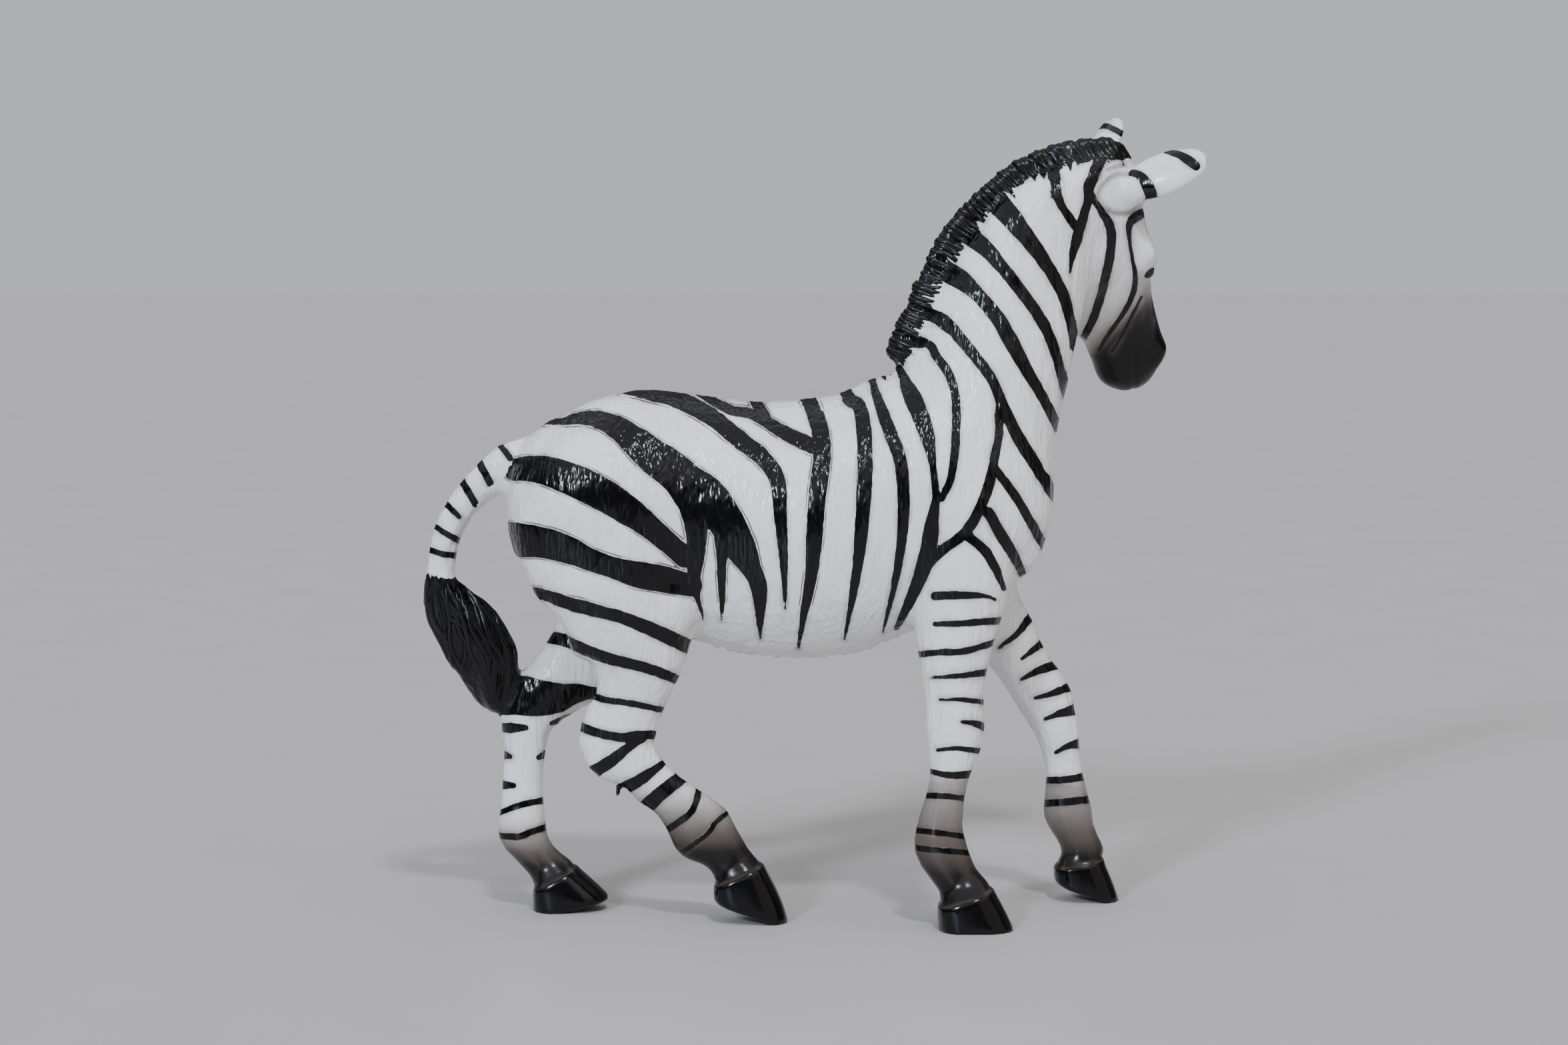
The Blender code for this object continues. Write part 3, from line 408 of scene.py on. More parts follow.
class StageSettings(bpy.types.PropertyGroup):
    floor_size: bpy.props.FloatProperty(
        name="Floor size", description="Length and width of the pale floor", default=6.0, unit="LENGTH")
    floor_colour: bpy.props.FloatVectorProperty(
        name="Floor", description="Colour of the floor", size=4, subtype="COLOR", default=linear("C3C1BE"))
    air_colour: bpy.props.FloatVectorProperty(
        name="Air", description="Colour of the light from all round", size=4, subtype="COLOR",
        default=linear("D2D3D6"))


SETTINGS = {
    "zebra_casting": CastingSettings,
    "zebra_paint": PaintSettings,
    "zebra_mane": ManeSettings,
    "zebra_tail": TailSettings,
    "zebra_stage": StageSettings,
}


# Places and directions


def smooth_path(points, steps=6):
    """More points on a smooth curve through the given ones."""
    points = np.array(points, float)
    padded = np.vstack([2 * points[0] - points[1], points, 2 * points[-1] - points[-2]])
    path = []
    for index in range(len(points) - 1):
        before, start, end, after = padded[index : index + 4]
        for share in np.arange(steps) / steps:
            path.append(0.5 * (
                2 * start + (end - before) * share
                + (2 * before - 5 * start + 4 * end - after) * share**2
                + (3 * start - before - 3 * end + after) * share**3
            ))
    return np.array([*path, points[-1]])


def along_path(points):
    """How far along a path each of its points is, from 0 to 1."""
    steps = np.linalg.norm(np.diff(points, axis=0), axis=1)
    travelled = np.concatenate([[0], np.cumsum(steps)])
    return travelled / travelled[-1]


def nearest_on_segment(places, start, end):
    """Each place's share along a segment, and its distance from it."""
    way = end - start
    share = np.clip((places - start) @ way / (way @ way), 0, 1)
    return share, np.linalg.norm(places - start - share[:, None] * way, axis=1)


def head_axes():
    """The head's own axes in the drawing, one in each row: to the nose, to the left, and up."""
    turn = (
        Matrix.Rotation(math.radians(HEAD_TURN), 3, "Z")
        @ Matrix.Rotation(math.radians(HEAD_DROP), 3, "Y")
        @ Matrix.Rotation(math.radians(HEAD_LEAN), 3, "X")
    )
    return np.array(turn.transposed())


HEAD_AXES = head_axes()


def on_head(places):
    """Places of the drawing as places on the head."""
    return (places - POLL) @ HEAD_AXES.T


def from_head(places):
    """Places on the head as places of the drawing."""
    return np.array(places, float) @ HEAD_AXES + POLL


def side_way(turn, roll):
    """The way to the animal's left where its neck is turned and rolled so much, in degrees."""
    turn, roll = math.radians(turn), math.radians(roll)
    return np.array([-math.sin(turn) * math.cos(roll), math.cos(turn) * math.cos(roll), math.sin(roll)])


def path_length(path):
    return np.linalg.norm(np.diff(path, axis=0), axis=1).sum()


def stencil(places):
    """Where places of the drawing are seen in the photograph, as stencil points."""
    drop = math.radians(EYE_DROP)
    seen = places - EYE
    ahead = seen[:, 1] * math.cos(drop) - seen[:, 2] * math.sin(drop)
    up = seen[:, 1] * math.sin(drop) + seen[:, 2] * math.cos(drop)
    column = FRAME_WIDTH / 2 + FOCAL_PIXELS * seen[:, 0] / ahead
    row = FRAME_HEIGHT / 2 - FOCAL_PIXELS * up / ahead
    return np.stack([column - STENCIL_COLUMN, STENCIL_ROW - row], axis=1) * STENCIL_SCALE


def body_parts(places):
    """Which bone each place belongs to, the place on that bone, and the way to its left."""
    reach = (EAR_REACH / np.linalg.norm(EAR_REACH))[None]
    ear = EAR_ROOT + reach * np.array([[4.0], [11.0]])
    near_ear, far_ear = both_sides(ear)
    bones = {
        **BONES,
        "head": Bone(from_head([(1, 0, 0), (12, 0, -1), (31, 0, -0.5)]), (6.4, 7, 5)),
        "near ear": Bone(near_ear, (3, 3)),
        "far ear": Bone(far_ear, (3, 3)),
    }
    best = np.full(len(places), np.inf)
    part = np.empty(len(places), object)
    centre = np.zeros_like(places)
    left = np.tile([0.0, 1.0, 0.0], (len(places), 1))
    for name, bone in bones.items():
        points = np.array(bone.points, float)
        for index in range(len(points) - 1):
            share, gap = nearest_on_segment(places, points[index], points[index + 1])
            thickness = bone.thickness[index] * (1 - share) + bone.thickness[index + 1] * share
            closer = gap / thickness < best
            best[closer] = (gap / thickness)[closer]
            part[closer] = name
            on_bone = points[index] + share[:, None] * (points[index + 1] - points[index])
            centre[closer] = on_bone[closer]
            if name in TURNS:
                first, second = side_way(*TURNS[name][index]), side_way(*TURNS[name][index + 1])
                ways = first + share[:, None] * (second - first)
                left[closer] = (ways / np.linalg.norm(ways, axis=1)[:, None])[closer]
            elif name == "head":
                left[closer] = HEAD_AXES[1]
                centre[closer] = POLL
            elif name == "trunk":
                left[closer] = (0, 1, 0)
                centre[closer] *= (1, 0, 1)
            else:
                left[closer] = (0, 1, 0)
    return part, centre, left


def both_sides(points):
    """Points on the right of the head, and their mirror images on its left, as places of the drawing."""
    points = np.array(points, float)
    return [from_head(points), from_head(points * [1, -1, 1])]


def seen_twins(places, part, centre, left):
    """Each place, or its mirror image in its own part where that is the side the photograph shows."""
    beyond = np.einsum("ij,ij->i", places - centre, left)
    beyond[np.isin(part, ["near ear", "far ear"])] = 0
    # The camera sees the right side of each part: the near legs' outer side and the far legs' inner side
    return places - 2 * np.maximum(beyond, 0)[:, None] * left


# Paint


def distance_to_stroke(points, stroke):
    """The distance from stencil points to the edge of a stroke, in millimetres, below 0 in its paint."""
    path = smooth_path(stroke.points)
    shares = along_path(path)
    widths = np.interp(shares, np.linspace(0, 1, len(stroke.widths)), stroke.widths)
    margin = max(stroke.widths) / 2 + PAINT_REACH
    near = np.all((points > path.min(axis=0) - margin) & (points < path.max(axis=0) + margin), axis=1)
    found = np.full(len(points), PAINT_REACH)
    if not near.any():
        return found
    best = np.full(near.sum(), PAINT_REACH)
    for index in range(len(path) - 1):
        share, gap = nearest_on_segment(points[near], path[index], path[index + 1])
        half = (widths[index] * (1 - share) + widths[index + 1] * share) / 2
        best = np.minimum(best, gap - half)
    found[near] = best
    return found


def distance_to_strokes(points, strokes):
    """The distance from stencil points to the edge of the nearest stroke."""
    found = np.full(len(points), PAINT_REACH)
    for stroke in strokes:
        found = np.minimum(found, distance_to_stroke(points, stroke))
    return found


def hairline_distance(points):
    """How far stencil points lie below the mane's hairline, and how far along it, in millimetres."""
    path = smooth_path(HAIRLINE)
    travelled = along_path(path) * path_length(path)
    best = np.full(len(points), 9.0)
    signed = np.full(len(points), 9.0)
    place = np.zeros(len(points))
    for index in range(len(path) - 1):
        start, end = path[index], path[index + 1]
        share, gap = nearest_on_segment(points, start, end)
        way = end - start
        below = way[1] * (points[:, 0] - start[0]) - way[0] * (points[:, 1] - start[1])
        closer = gap < best
        best[closer] = gap[closer]
        signed[closer] = np.where(below > 0, gap, -gap)[closer]
        place[closer] = (travelled[index] + share * (travelled[index + 1] - travelled[index]))[closer]
    return signed, place


def noise_at(places, scale, shift=0.0):
    """Smooth noise from about -1 to 1 at each place, with one scale in millimetres for each axis."""
    steps = places / np.array(scale)
    return np.array([noise.noise(Vector((x + shift, y, z))) for x, y, z in steps])


def black_stripes(places, points, normals, part):
    """The distance in millimetres to the edge of the black stripes, below 0 in them."""
    sets = {
        "far fore": FAR_FORE_STRIPES,
        "far hind": FAR_HIND_STRIPES,
        "tail": TAIL_STRIPES,
        "head": [*CHEEK_STRIPES, *POLL_STRIPES, EAR_COLLAR],
        "near ear": NEAR_EAR_STRIPES,
        "far ear": FAR_EAR_STRIPES,
    }
    body = [
        *NECK_STRIPES, *POLL_STRIPES, *CHEST_STRIPES, *BARREL_STRIPES, *RUMP_STRIPES, *NEAR_LEG_STRIPES]
    found = np.full(len(places), PAINT_REACH)
    for name in set(part):
        here = part == name
        found[here] = distance_to_strokes(points[here], sets.get(name, body))
    # The hidden outer side of the far legs has the near side's stripes at its top
    for name in ("far fore", "far hind"):
        high = (part == name) & (places[:, 2] > FAR_LEG_TOP) & (normals[:, 1] > -0.1)
        found[high] = distance_to_strokes(stencil(places[high] * [1, -1, 1]), body)
    # Nothing is stamped through the ears, and the front of the face has stripes of its own
    ears = np.isin(part, ["near ear", "far ear", "head"]) & (on_head(places)[:, 0] < 9)
    found[ears] = np.maximum(found[ears], 4 * normals[ears, 1])
    front = (part == "head") & (normals @ HEAD_AXES[2] > 0.45)
    along, across, _ = on_head(places[front]).T
    on_front = np.stack([along, np.abs(across)], axis=1)
    found[front] = np.minimum(found[front], distance_to_strokes(on_front, FACE_STRIPES))
    return found


def above_coronet(places, name):
    """How far places lie above the coronet of a leg's hoof, in millimetres."""
    heel_x, heel_z, toe_x, toe_z = CORONETS[name]
    slope = (toe_z - heel_z) / (toe_x - heel_x)
    return (places[:, 2] - heel_z - slope * (places[:, 0] - heel_x)) / math.hypot(1, slope)


def with_hooves_and_tuft(found, places, part):
    """The distance to black paint, with the hooves and the tuft of the tail painted too."""
    for name in CORONETS:
        here = part == name
        found[here] = np.minimum(found[here], above_coronet(places[here], name))
    tuft = part == "tuft"
    found[tuft] = np.minimum(found[tuft], places[tuft, 2] - TUFT_TOP)
    return found


def with_mane(found, points, part):
    """The distance to black paint, with the mane painted down to its hairline.

    The black ends in the points of separate hairs, on the hairline and on the stripes that start from it.
    """
    below, travelled = hairline_distance(points)
    hairs = 0.62 * noise_at(np.stack([travelled, below * 0.12, travelled * 0], axis=1), (0.62, 1, 1))
    hairs += 0.45 * (2 * np.abs((travelled / 1.25) % 1 - 0.5) - 0.5)
    hairs *= np.where(part == "head", 0.2, 1)
    on_neck = np.isin(part, ["mane", "neck", "trunk", "head"])
    mane = np.where(on_neck & (travelled > 0.01), below + 2.1 * hairs, PAINT_REACH)
    near_mane = np.where(on_neck, np.exp(-((np.maximum(below, 0) / 3.2) ** 2)), 0)
    return np.minimum(found + 0.9 * near_mane * hairs, np.maximum(mane, -PAINT_REACH))


def spray_amount(places, points, part):
    """How much sprayed paint there is, from 0 to 1: grey on the lower legs, brown to black on the muzzle."""
    amount = np.zeros(len(places))
    for name, readings in LEG_SPRAY.items():
        here = part == name
        amount[here] = np.interp(places[here, 2], *zip(*readings))
    face = part == "head"
    across, up = points[face].T
    amount[face] = np.interp(0.7 * across - 0.71 * up, *zip(*FACE_SPRAY))
    return amount


# The casting


def joined_copy(node):
    """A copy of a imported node's mesh with its doubled points merged."""
    mesh = bmesh.new()
    mesh.from_mesh(node.data)
    bmesh.ops.remove_doubles(mesh, verts=mesh.verts, dist=1e-7)
    return mesh


def add_blob(mesh, centre, radii):
    """Add a ball, given in the drawing's millimetres, to a mesh in metres."""
    place = (Vector(centre) - Vector(DRAWING_ORIGIN)) / 1000
    pose = Matrix.Translation(place) @ Matrix.Diagonal((*[radius / 1000 for radius in radii], 1))
    bmesh.ops.create_icosphere(mesh, subdivisions=3, radius=1.0, matrix=pose)


def remeshed(mesh, step):
    """One even surface round everything in the mesh."""
    data = bpy.data.meshes.new("casting")
    mesh.to_mesh(data)
    mesh.free()
    rough = bpy.data.objects.new("casting", data)
    bpy.context.scene.collection.objects.link(rough)
    remesh = rough.modifiers.new("even surface", "REMESH")
    remesh.mode = "VOXEL"
    remesh.voxel_size = step
    remesh.use_smooth_shade = True
    graph = bpy.context.evaluated_depsgraph_get()
    surface = bpy.data.meshes.new_from_object(rough.evaluated_get(graph))
    bpy.data.objects.remove(rough)
    return surface


def thinned(surface, plain, triangles):
    """The surface with no more than a number of triangles, most of them taken from where it is plain."""
    rough = bpy.data.objects.new("casting", surface)
    bpy.context.scene.collection.objects.link(rough)
    group = rough.vertex_groups.new(name="plain")
    group.add(np.nonzero(plain)[0].tolist(), 1.0, "REPLACE")
    thin = rough.modifiers.new("fewer triangles", "DECIMATE")
    thin.ratio = min(1.0, triangles / (2 * len(surface.polygons)))
    thin.vertex_group = group.name
    graph = bpy.context.evaluated_depsgraph_get()
    lighter = bpy.data.meshes.new_from_object(rough.evaluated_get(graph))
    bpy.data.objects.remove(rough)
    lighter.polygons.foreach_set("use_smooth", [True] * len(lighter.polygons))
    return lighter


def places_of(surface):
    """The places of a surface's points in the drawing, in millimetres."""
    flat = np.empty(len(surface.vertices) * 3)
    surface.vertices.foreach_get("co", flat)
    return flat.reshape(-1, 3) * 1000 + DRAWING_ORIGIN


def put_back(surface, places):
    surface.vertices.foreach_set("co", ((places - DRAWING_ORIGIN) / 1000).ravel())
    surface.update()


def normals_of(surface):
    flat = np.empty(len(surface.vertices) * 3)
    surface.vertices.foreach_get("normal", flat)
    return flat.reshape(-1, 3)


def edges_of(surface):
    flat = np.empty(len(surface.edges) * 2, int)
    surface.edges.foreach_get("vertices", flat)
    return flat.reshape(-1, 2)


def neighbour_mean(values, edges):
    """The mean of each point's neighbours."""
    count = np.bincount(edges.ravel(), minlength=len(values))
    total = np.stack([
        np.bincount(edges[:, 0], values[edges[:, 1], axis], len(values))
        + np.bincount(edges[:, 1], values[edges[:, 0], axis], len(values))
        for axis in range(values.shape[1])
    ], axis=1)
    return total / count[:, None]


def smoothed(places, edges, weight, rounds):
    """The places with their bumps smoothed, and their volume kept."""
    for _ in range(rounds):
        for push in (0.62, -0.64):
            places = places + (weight * push)[:, None] * (neighbour_mean(places, edges) - places)
    return places


def spread(values, edges, rounds=8):
    """Values with their steps made gradual over the surface."""
    values = values[:, None]
    for _ in range(rounds):
        values = 0.5 * (values + neighbour_mean(values, edges))
    return values[:, 0]


def line_distance(places, path):
    """The distance from each place to a path in space."""
    found = np.full(len(places), 99.0)
    for start, end in zip(path, path[1:]):
        found = np.minimum(found, nearest_on_segment(places, start, end)[1])
    return found


def carved_lines():
    """Lines that are carved or raised: a path in the drawing, a half width and a height in millimetres."""
    rim = [
        EYEBALL + [1.75 * math.cos(angle), 0.35, 1.25 * math.sin(angle)]
        for angle in np.linspace(0, math.tau, 17)
    ]
    lines = [(smooth_path(side, 3), 0.32, -0.2) for side in both_sides(MOUTH)]
    lines += [(smooth_path(side, 3), 0.7, -0.9) for side in both_sides(NOSTRIL)]
    lines += [(side, 0.32, 0.34) for side in both_sides(rim)]
    return lines


def bell(values, middle, half_width):
    """A smooth bump of height 1 round a middle."""
    return np.exp(-(((values - middle) / half_width) ** 2))


def carve(places, points, normals, part):
    """Press the lines of the head, the folds, the coronets and the knobs of the mane into the places.

    Returns the places, and how much painted shade darkens the creases brown.
    """
    wash_and_crease_shade = np.zeros(len(places))
    lift = np.zeros(len(places))
    head = part == "head"
    for path, half_width, height in carved_lines():
        shape = bell(line_distance(places[head], path), 0, half_width)
        lift[head] += height * shape
        # Sunk lines get painted shade: a brown darkening along their groove
        if height < 0:
            wash_and_crease_shade[head] = np.maximum(wash_and_crease_shade[head], shape)
    near_poll = np.isin(part, ["head", "neck", "mane", "near ear", "far ear"])
    gap = distance_to_strokes(points[near_poll], [Stroke((0.02, 0.02), fold) for fold in FOLDS])
    fold = bell(np.maximum(gap, 0), 0, FOLD_WIDTH)
    lift[near_poll] -= FOLD_DEPTH * fold
    # The folds get painted shade too, a little lighter
    wash_and_crease_shade[near_poll] = np.maximum(wash_and_crease_shade[near_poll], 0.55 * fold)
    for name in CORONETS:
        here = part == name
        above = above_coronet(places[here], name)
        for middle, half_width, height in (CORONET_RIM, CORONET_GROOVE):
            lift[here] += height * bell(above, middle, half_width)
    crest = smooth_path(CREST, 3)[:, :3]
    travelled = along_path(crest) * path_length(crest)
    mane = part == "mane"
    gaps = np.linalg.norm(places[mane, None, :] - crest[None], axis=2)
    ridge = np.clip(1 - gaps.min(axis=1) / 4.6, 0, 1)
    knob = np.abs(np.sin(math.pi * travelled[gaps.argmin(axis=1)] / KNOB_SPACING + 0.4))
    lift[mane] += KNOB_HEIGHT * (knob - 0.55) * ridge**0.5
    belly = (part == "trunk") & (normals[:, 2] < -0.6) & (np.abs(places[:, 0] + 2) < 13.5)
    torn = 0.6 + noise_at(places[belly], (0.9, 9, 9)) + noise_at(places[belly], (4, 9, 9))
    lift[belly] += FLASH_HEIGHT * np.clip(torn, 0, 0.8) * bell(places[belly, 1], 0.2, FLASH_WIDTH)
    return places + lift[:, None] * normals, wash_and_crease_shade


def refined_solid(step):
    """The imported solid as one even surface, with the balls at the ears' roots and the burr on the hock."""
    mesh = joined_copy(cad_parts["zebra"])
    shift, radii = EAR_BALL
    for side in both_sides([EAR_ROOT + shift]):
        add_blob(mesh, side[0], radii)
    add_blob(mesh, *HOCK_BURR)
    return remeshed(mesh, step)


def shape(surface, part):
    """Smooth the solid's facets away, swell the face and hollow the thigh. Returns the places."""
    places = places_of(surface)
    edges = edges_of(surface)
    weight = np.where(places[:, 2] < SOLE_TOP, 0.0, 1.0)
    places = smoothed(places, edges, weight, rounds=12)
    put_back(surface, places)
    normals = normals_of(surface)
    for middle, radius, height in SWELLINGS:
        for side in both_sides([middle]):
            gap = np.linalg.norm(places - side[0], axis=1)
            places = places + (height * bell(gap, 0, radius))[:, None] * normals
    middle, radius, depth = THIGH_HOLLOW
    gap = np.linalg.norm(places - middle, axis=1)
    places[:, 0] += depth * bell(gap, 0, radius) * np.clip(-2 * normals[:, 0], 0, 1)
    on_leg = np.isin(part, list(CORONETS))
    hoof = on_leg & (places[:, 2] < HOOF_TOP)
    for _ in range(7):
        places = places + (0.5 * weight * hoof)[:, None] * (neighbour_mean(places, edges) - places)
    # The large plain surfaces take more
    broad = np.isin(part, ["trunk", "neck"]) | ((part == "head") & (on_head(places)[:, 0] > 5))
    broad |= on_leg & (places[:, 2] < PASTERN_TOP)
    places = smoothed(places, edges, spread(weight * broad, edges), rounds=26)
    put_back(surface, places)
    return places


def how_combed(places, part):
    """How strongly the coat is combed into hair at each place, from 0 to 1."""
    combed = np.clip((places[:, 2] - 10) / 14, 0, 1)
    combed[np.isin(part, ["near ear", "far ear"])] = 0.15
    face = part == "head"
    combed[face] *= np.interp(on_head(places[face])[:, 0], (3, 12, 24), (0.6, 0.45, 0.1))
    return combed


def coat_lift(places, black, engraved, combed, settings):
    """How far the combed coat stands up and the engraved lines are sunk, in millimetres."""
    # The coat is combed downwards, so its ridges are long in Z
    pitch = settings.hair_pitch * 1000
    coat = noise_at(places, (pitch, pitch, pitch * 6))
    coat += 0.5 * noise_at(places, (pitch * 2.6, pitch * 2.6, pitch * 9), 7.3)
    depth = np.where(black < 0, 1.3, 1.0) * combed * settings.hair_relief * 1000
    groove = bell(engraved, settings.outline_gap * 1000, 0.22) * settings.outline_depth * 1000
    return np.where(places[:, 2] < 0.3, 0, coat * depth - groove)


def make_casting(settings):
    """The painted casting as a new mesh."""
    surface = refined_solid(settings.grain)
    part, centre, left = body_parts(places_of(surface))
    places = shape(surface, part)
    normals = normals_of(surface)
    points = stencil(seen_twins(places, part, centre, left))
    black = black_stripes(places, points, normals, part)
    outlined = np.isin(part, ["trunk", "near hind"])
    outlined &= (places[:, 2] > OUTLINED_ABOVE) & (places[:, 0] < OUTLINED_BEHIND)
    engraved = np.where(outlined, black, PAINT_REACH)
    black = with_mane(with_hooves_and_tuft(black, places, part), points, part)
    spray = spray_amount(places, points, part)
    # carve also gives the painted shade that darkens the creases
    places, wash_and_crease_shade = carve(places, points, normals, part)
    combed = how_combed(places, part)
    places = places + coat_lift(places, black, engraved, combed, settings)[:, None] * normals
    places[:, 2] = np.maximum(places[:, 2], DRAWING_ORIGIN[2])
    put_back(surface, places)
    layers = {"black": black, "engraved": engraved, "spray": spray, "wash_and_crease_shade": wash_and_crease_shade, "combed": combed}
    for name, values in layers.items():
        layer = surface.attributes.new(name, "FLOAT", "POINT")
        layer.data.foreach_set("value", values.astype(np.float32))
    plain = (np.abs(black) > PLAIN_GAP) & (part != "head")
    return thinned(surface, plain, CASTING_TRIANGLES)


# Materials


def add_node(tree, kind, inputs=(), **settings):
    """Add a node with its settings, and link or set its inputs, by name or in order.

    A node among the inputs gives its first output.
    """
    node = tree.nodes.new(kind)
    for name, value in settings.items():
        setattr(node, name, value)
    for socket, value in inputs.items() if isinstance(inputs, dict) else enumerate(inputs):
        if isinstance(value, bpy.types.Node):
            value = value.outputs[0]
        if isinstance(value, bpy.types.NodeSocket):
            tree.links.new(value, node.inputs[socket])
        else:
            node.inputs[socket].default_value = value
    return node


def new_material(name, gloss=0.5, **values):
    """A new material with plain values on its shader, its tree, its shader and its object's coordinates."""
    material = bpy.data.materials.new(name)
    material.use_nodes = True
    tree = material.node_tree
    shader = tree.nodes["Principled BSDF"]
    shader.inputs["Specular IOR Level"].default_value = gloss
    for socket, value in values.items():
        shader.inputs[socket.replace("_", " ")].default_value = value
    return material, tree, shader, add_node(tree, "ShaderNodeTexCoord").outputs["Object"]


def painted_plastic():
    """Soft PVC, moulded white with a combed coat, then stamped black, washed brown, darkened brown in its
    creases as painted shade, and sprayed grey.

    The eye sees a clean glossy white broken by fine highlights, and crisp black stripes with a thin brown
    line round them.
    """
    colours = bpy.context.scene.zebra_paint
    material, tree, shader, place = new_material(
        "white moulded PVC with painted stripes", gloss=0.32, IOR=1.5)
    black, engraved, spray, wash_and_crease_shade, combed = (
        add_node(tree, "ShaderNodeAttribute", attribute_name=name).outputs["Fac"]
        for name in ("black", "engraved", "spray", "wash_and_crease_shade", "combed")
    )
    # The size of each noise's marks in millimetres, how much longer they are in Z, and their detail
    noises = {}
    for use, size, longer, detail in (
        ("edge", 1.3, 1, 2.0), ("drift", 4.0, 1, 2.0), ("line", 5.0, 1, 2.0), ("halo", 3.0, 1, 2.0),
        ("mottling", 6.0, 1, 2.0), ("gloss", 1.5, 1, 2.0), ("hairs", 0.62, 6, 1.0)):
        scaled = add_node(tree, "ShaderNodeMapping", {
            "Vector": place, "Scale": (1000 / size, 1000 / size, 1000 / size / longer)}, vector_type="POINT")
        noises[use] = add_node(tree, "ShaderNodeTexNoise", {"Vector": scaled, "Scale": 1.0, "Detail": detail})
    # The stamp's edge wanders by a tenth of a millimetre
    wander = add_node(tree, "ShaderNodeMath", (noises["edge"], 0.26, -0.13), operation="MULTIPLY_ADD")
    edge = add_node(tree, "ShaderNodeMath", (black, wander), operation="ADD")
    # Brown is left in the engraved line, thin and broken, and beside the black
    drift = add_node(tree, "ShaderNodeMath", (noises["drift"], 0.3, 0.06), operation="MULTIPLY_ADD")
    past_line = add_node(tree, "ShaderNodeMath", (engraved, drift), operation="SUBTRACT")
    off_line = add_node(tree, "ShaderNodeMath", {0: past_line}, operation="ABSOLUTE")
    # Smooth steps: what each reads, where it starts and ends, and its values there
    steps = {}
    for use, value, start, end, low, high in (
        ("painted", edge, 0.05, -0.05, 0.0, 1.0),
        ("on the line", off_line, 0.11, 0.03, 0.0, 1.0),
        ("line unbroken", noises["line"], 0.42, 0.58, 0.0, 1.0),
        ("beside black", black, 0.75, 0.0, 0.0, 0.42),
        ("halo unbroken", noises["halo"], 0.35, 0.62, 0.2, 1.0),
        ("mottled", noises["mottling"], 0.35, 0.7, 0.0, 0.35),
        ("paint's height", edge, 0.08, -0.08, 0.0, 0.3)):
        steps[use] = add_node(tree, "ShaderNodeMapRange", {
            "Value": value, 1: start, 2: end, 3: low, 4: high}, interpolation_type="SMOOTHSTEP")
    line, halo = (
        add_node(tree, "ShaderNodeMath", (steps[where], steps[unbroken]), operation="MULTIPLY")
        for where, unbroken in (("on the line", "line unbroken"), ("beside black", "halo unbroken"))
    )
    sprayed = add_node(tree, "ShaderNodeValToRGB", {"Fac": spray})
    stops = sprayed.color_ramp.elements
    stops[0].color = (1, 1, 1, 1)
    stops[1].color = linear("080707")
    stops.new(0.4).color = tuple(colours.spray)
    for share, code in ((0.18, "D8D5D2"), (0.62, "655C56"), (0.82, "211D1B")):
        stops.new(share).color = linear(code)
    # The coats of colour from the plastic up: how much of each, how it mixes, and its colour. The brown
    # multiplied into the creases is painted shade
    colour = tuple(colours.white)
    for amount, blend, coat in (
        (steps["mottled"], "MIX", linear("DCDDDE")),
        (1.0, "MULTIPLY", sprayed),
        (wash_and_crease_shade, "MULTIPLY", tuple(colours.wash_and_crease_shade)),
        (halo, "MIX", tuple(colours.wash_and_crease_shade)),
        (line, "MIX", tuple(colours.wash_and_crease_shade)),
        (steps["painted"], "MIX", tuple(colours.black))):
        colour = add_node(tree, "ShaderNodeMix", {
            0: amount, 6: colour, 7: coat}, data_type="RGBA", blend_type=blend).outputs[2]
    tree.links.new(colour, shader.inputs["Base Color"])
    # Black paint is glossier than the bare plastic
    rough = add_node(tree, "ShaderNodeMath", (noises["gloss"], 0.14, 0.16), operation="MULTIPLY_ADD")
    glossier = add_node(tree, "ShaderNodeMath", (steps["painted"], -0.06, rough), operation="MULTIPLY_ADD")
    tree.links.new(glossier.outputs[0], shader.inputs["Roughness"])
    # Hairs about half a millimetre wide, combed downwards
    share = add_node(tree, "ShaderNodeMath", (combed, 1.1, 0.06), operation="MULTIPLY_ADD")
    height = add_node(
        tree, "ShaderNodeMath", (noises["hairs"], share, steps["paint's height"]), operation="MULTIPLY_ADD")
    bump = add_node(tree, "ShaderNodeBump", {"Strength": 1.0, "Distance": 0.00022, "Height": height})
    tree.links.new(bump.outputs[0], shader.inputs["Normal"])
    return material


def black_hair():
    """Moulded hair under glossy black paint: deep black with thin bluish highlights along the locks."""
    name = "black gloss paint on moulded hair"
    if name in bpy.data.materials:
        return bpy.data.materials[name]
    material, tree, shader, place = new_material(name, gloss=0.35, IOR=1.5)
    fine = add_node(tree, "ShaderNodeTexNoise", {"Vector": place, "Scale": 2200.0, "Detail": 2.0})
    shade = add_node(tree, "ShaderNodeMapRange", {"Value": fine, 1: 0.3, 2: 0.7, 3: 0.2, 4: 0.34})
    tone = add_node(tree, "ShaderNodeMix", {
        0: fine, 6: linear("050506"), 7: linear("0A0A0A")}, data_type="RGBA")
    bump = add_node(tree, "ShaderNodeBump", {"Strength": 0.4, "Distance": 0.00005, "Height": fine})
    tree.links.new(shade.outputs[0], shader.inputs["Roughness"])
    tree.links.new(tone.outputs[2], shader.inputs["Base Color"])
    tree.links.new(bump.outputs[0], shader.inputs["Normal"])
    return material


def eye_enamel():
    """Drops of black enamel: smooth, deep and wet."""
    material, tree, shader, place = new_material("black eye enamel", Roughness=0.12, IOR=1.5)
    fine = add_node(tree, "ShaderNodeTexNoise", {"Vector": place, "Scale": 900.0, "Detail": 1.0})
    tone = add_node(tree, "ShaderNodeMix", {
        0: fine, 6: linear("070707"), 7: linear("110F0E")}, data_type="RGBA")
    tree.links.new(tone.outputs[2], shader.inputs["Base Color"])
    return material


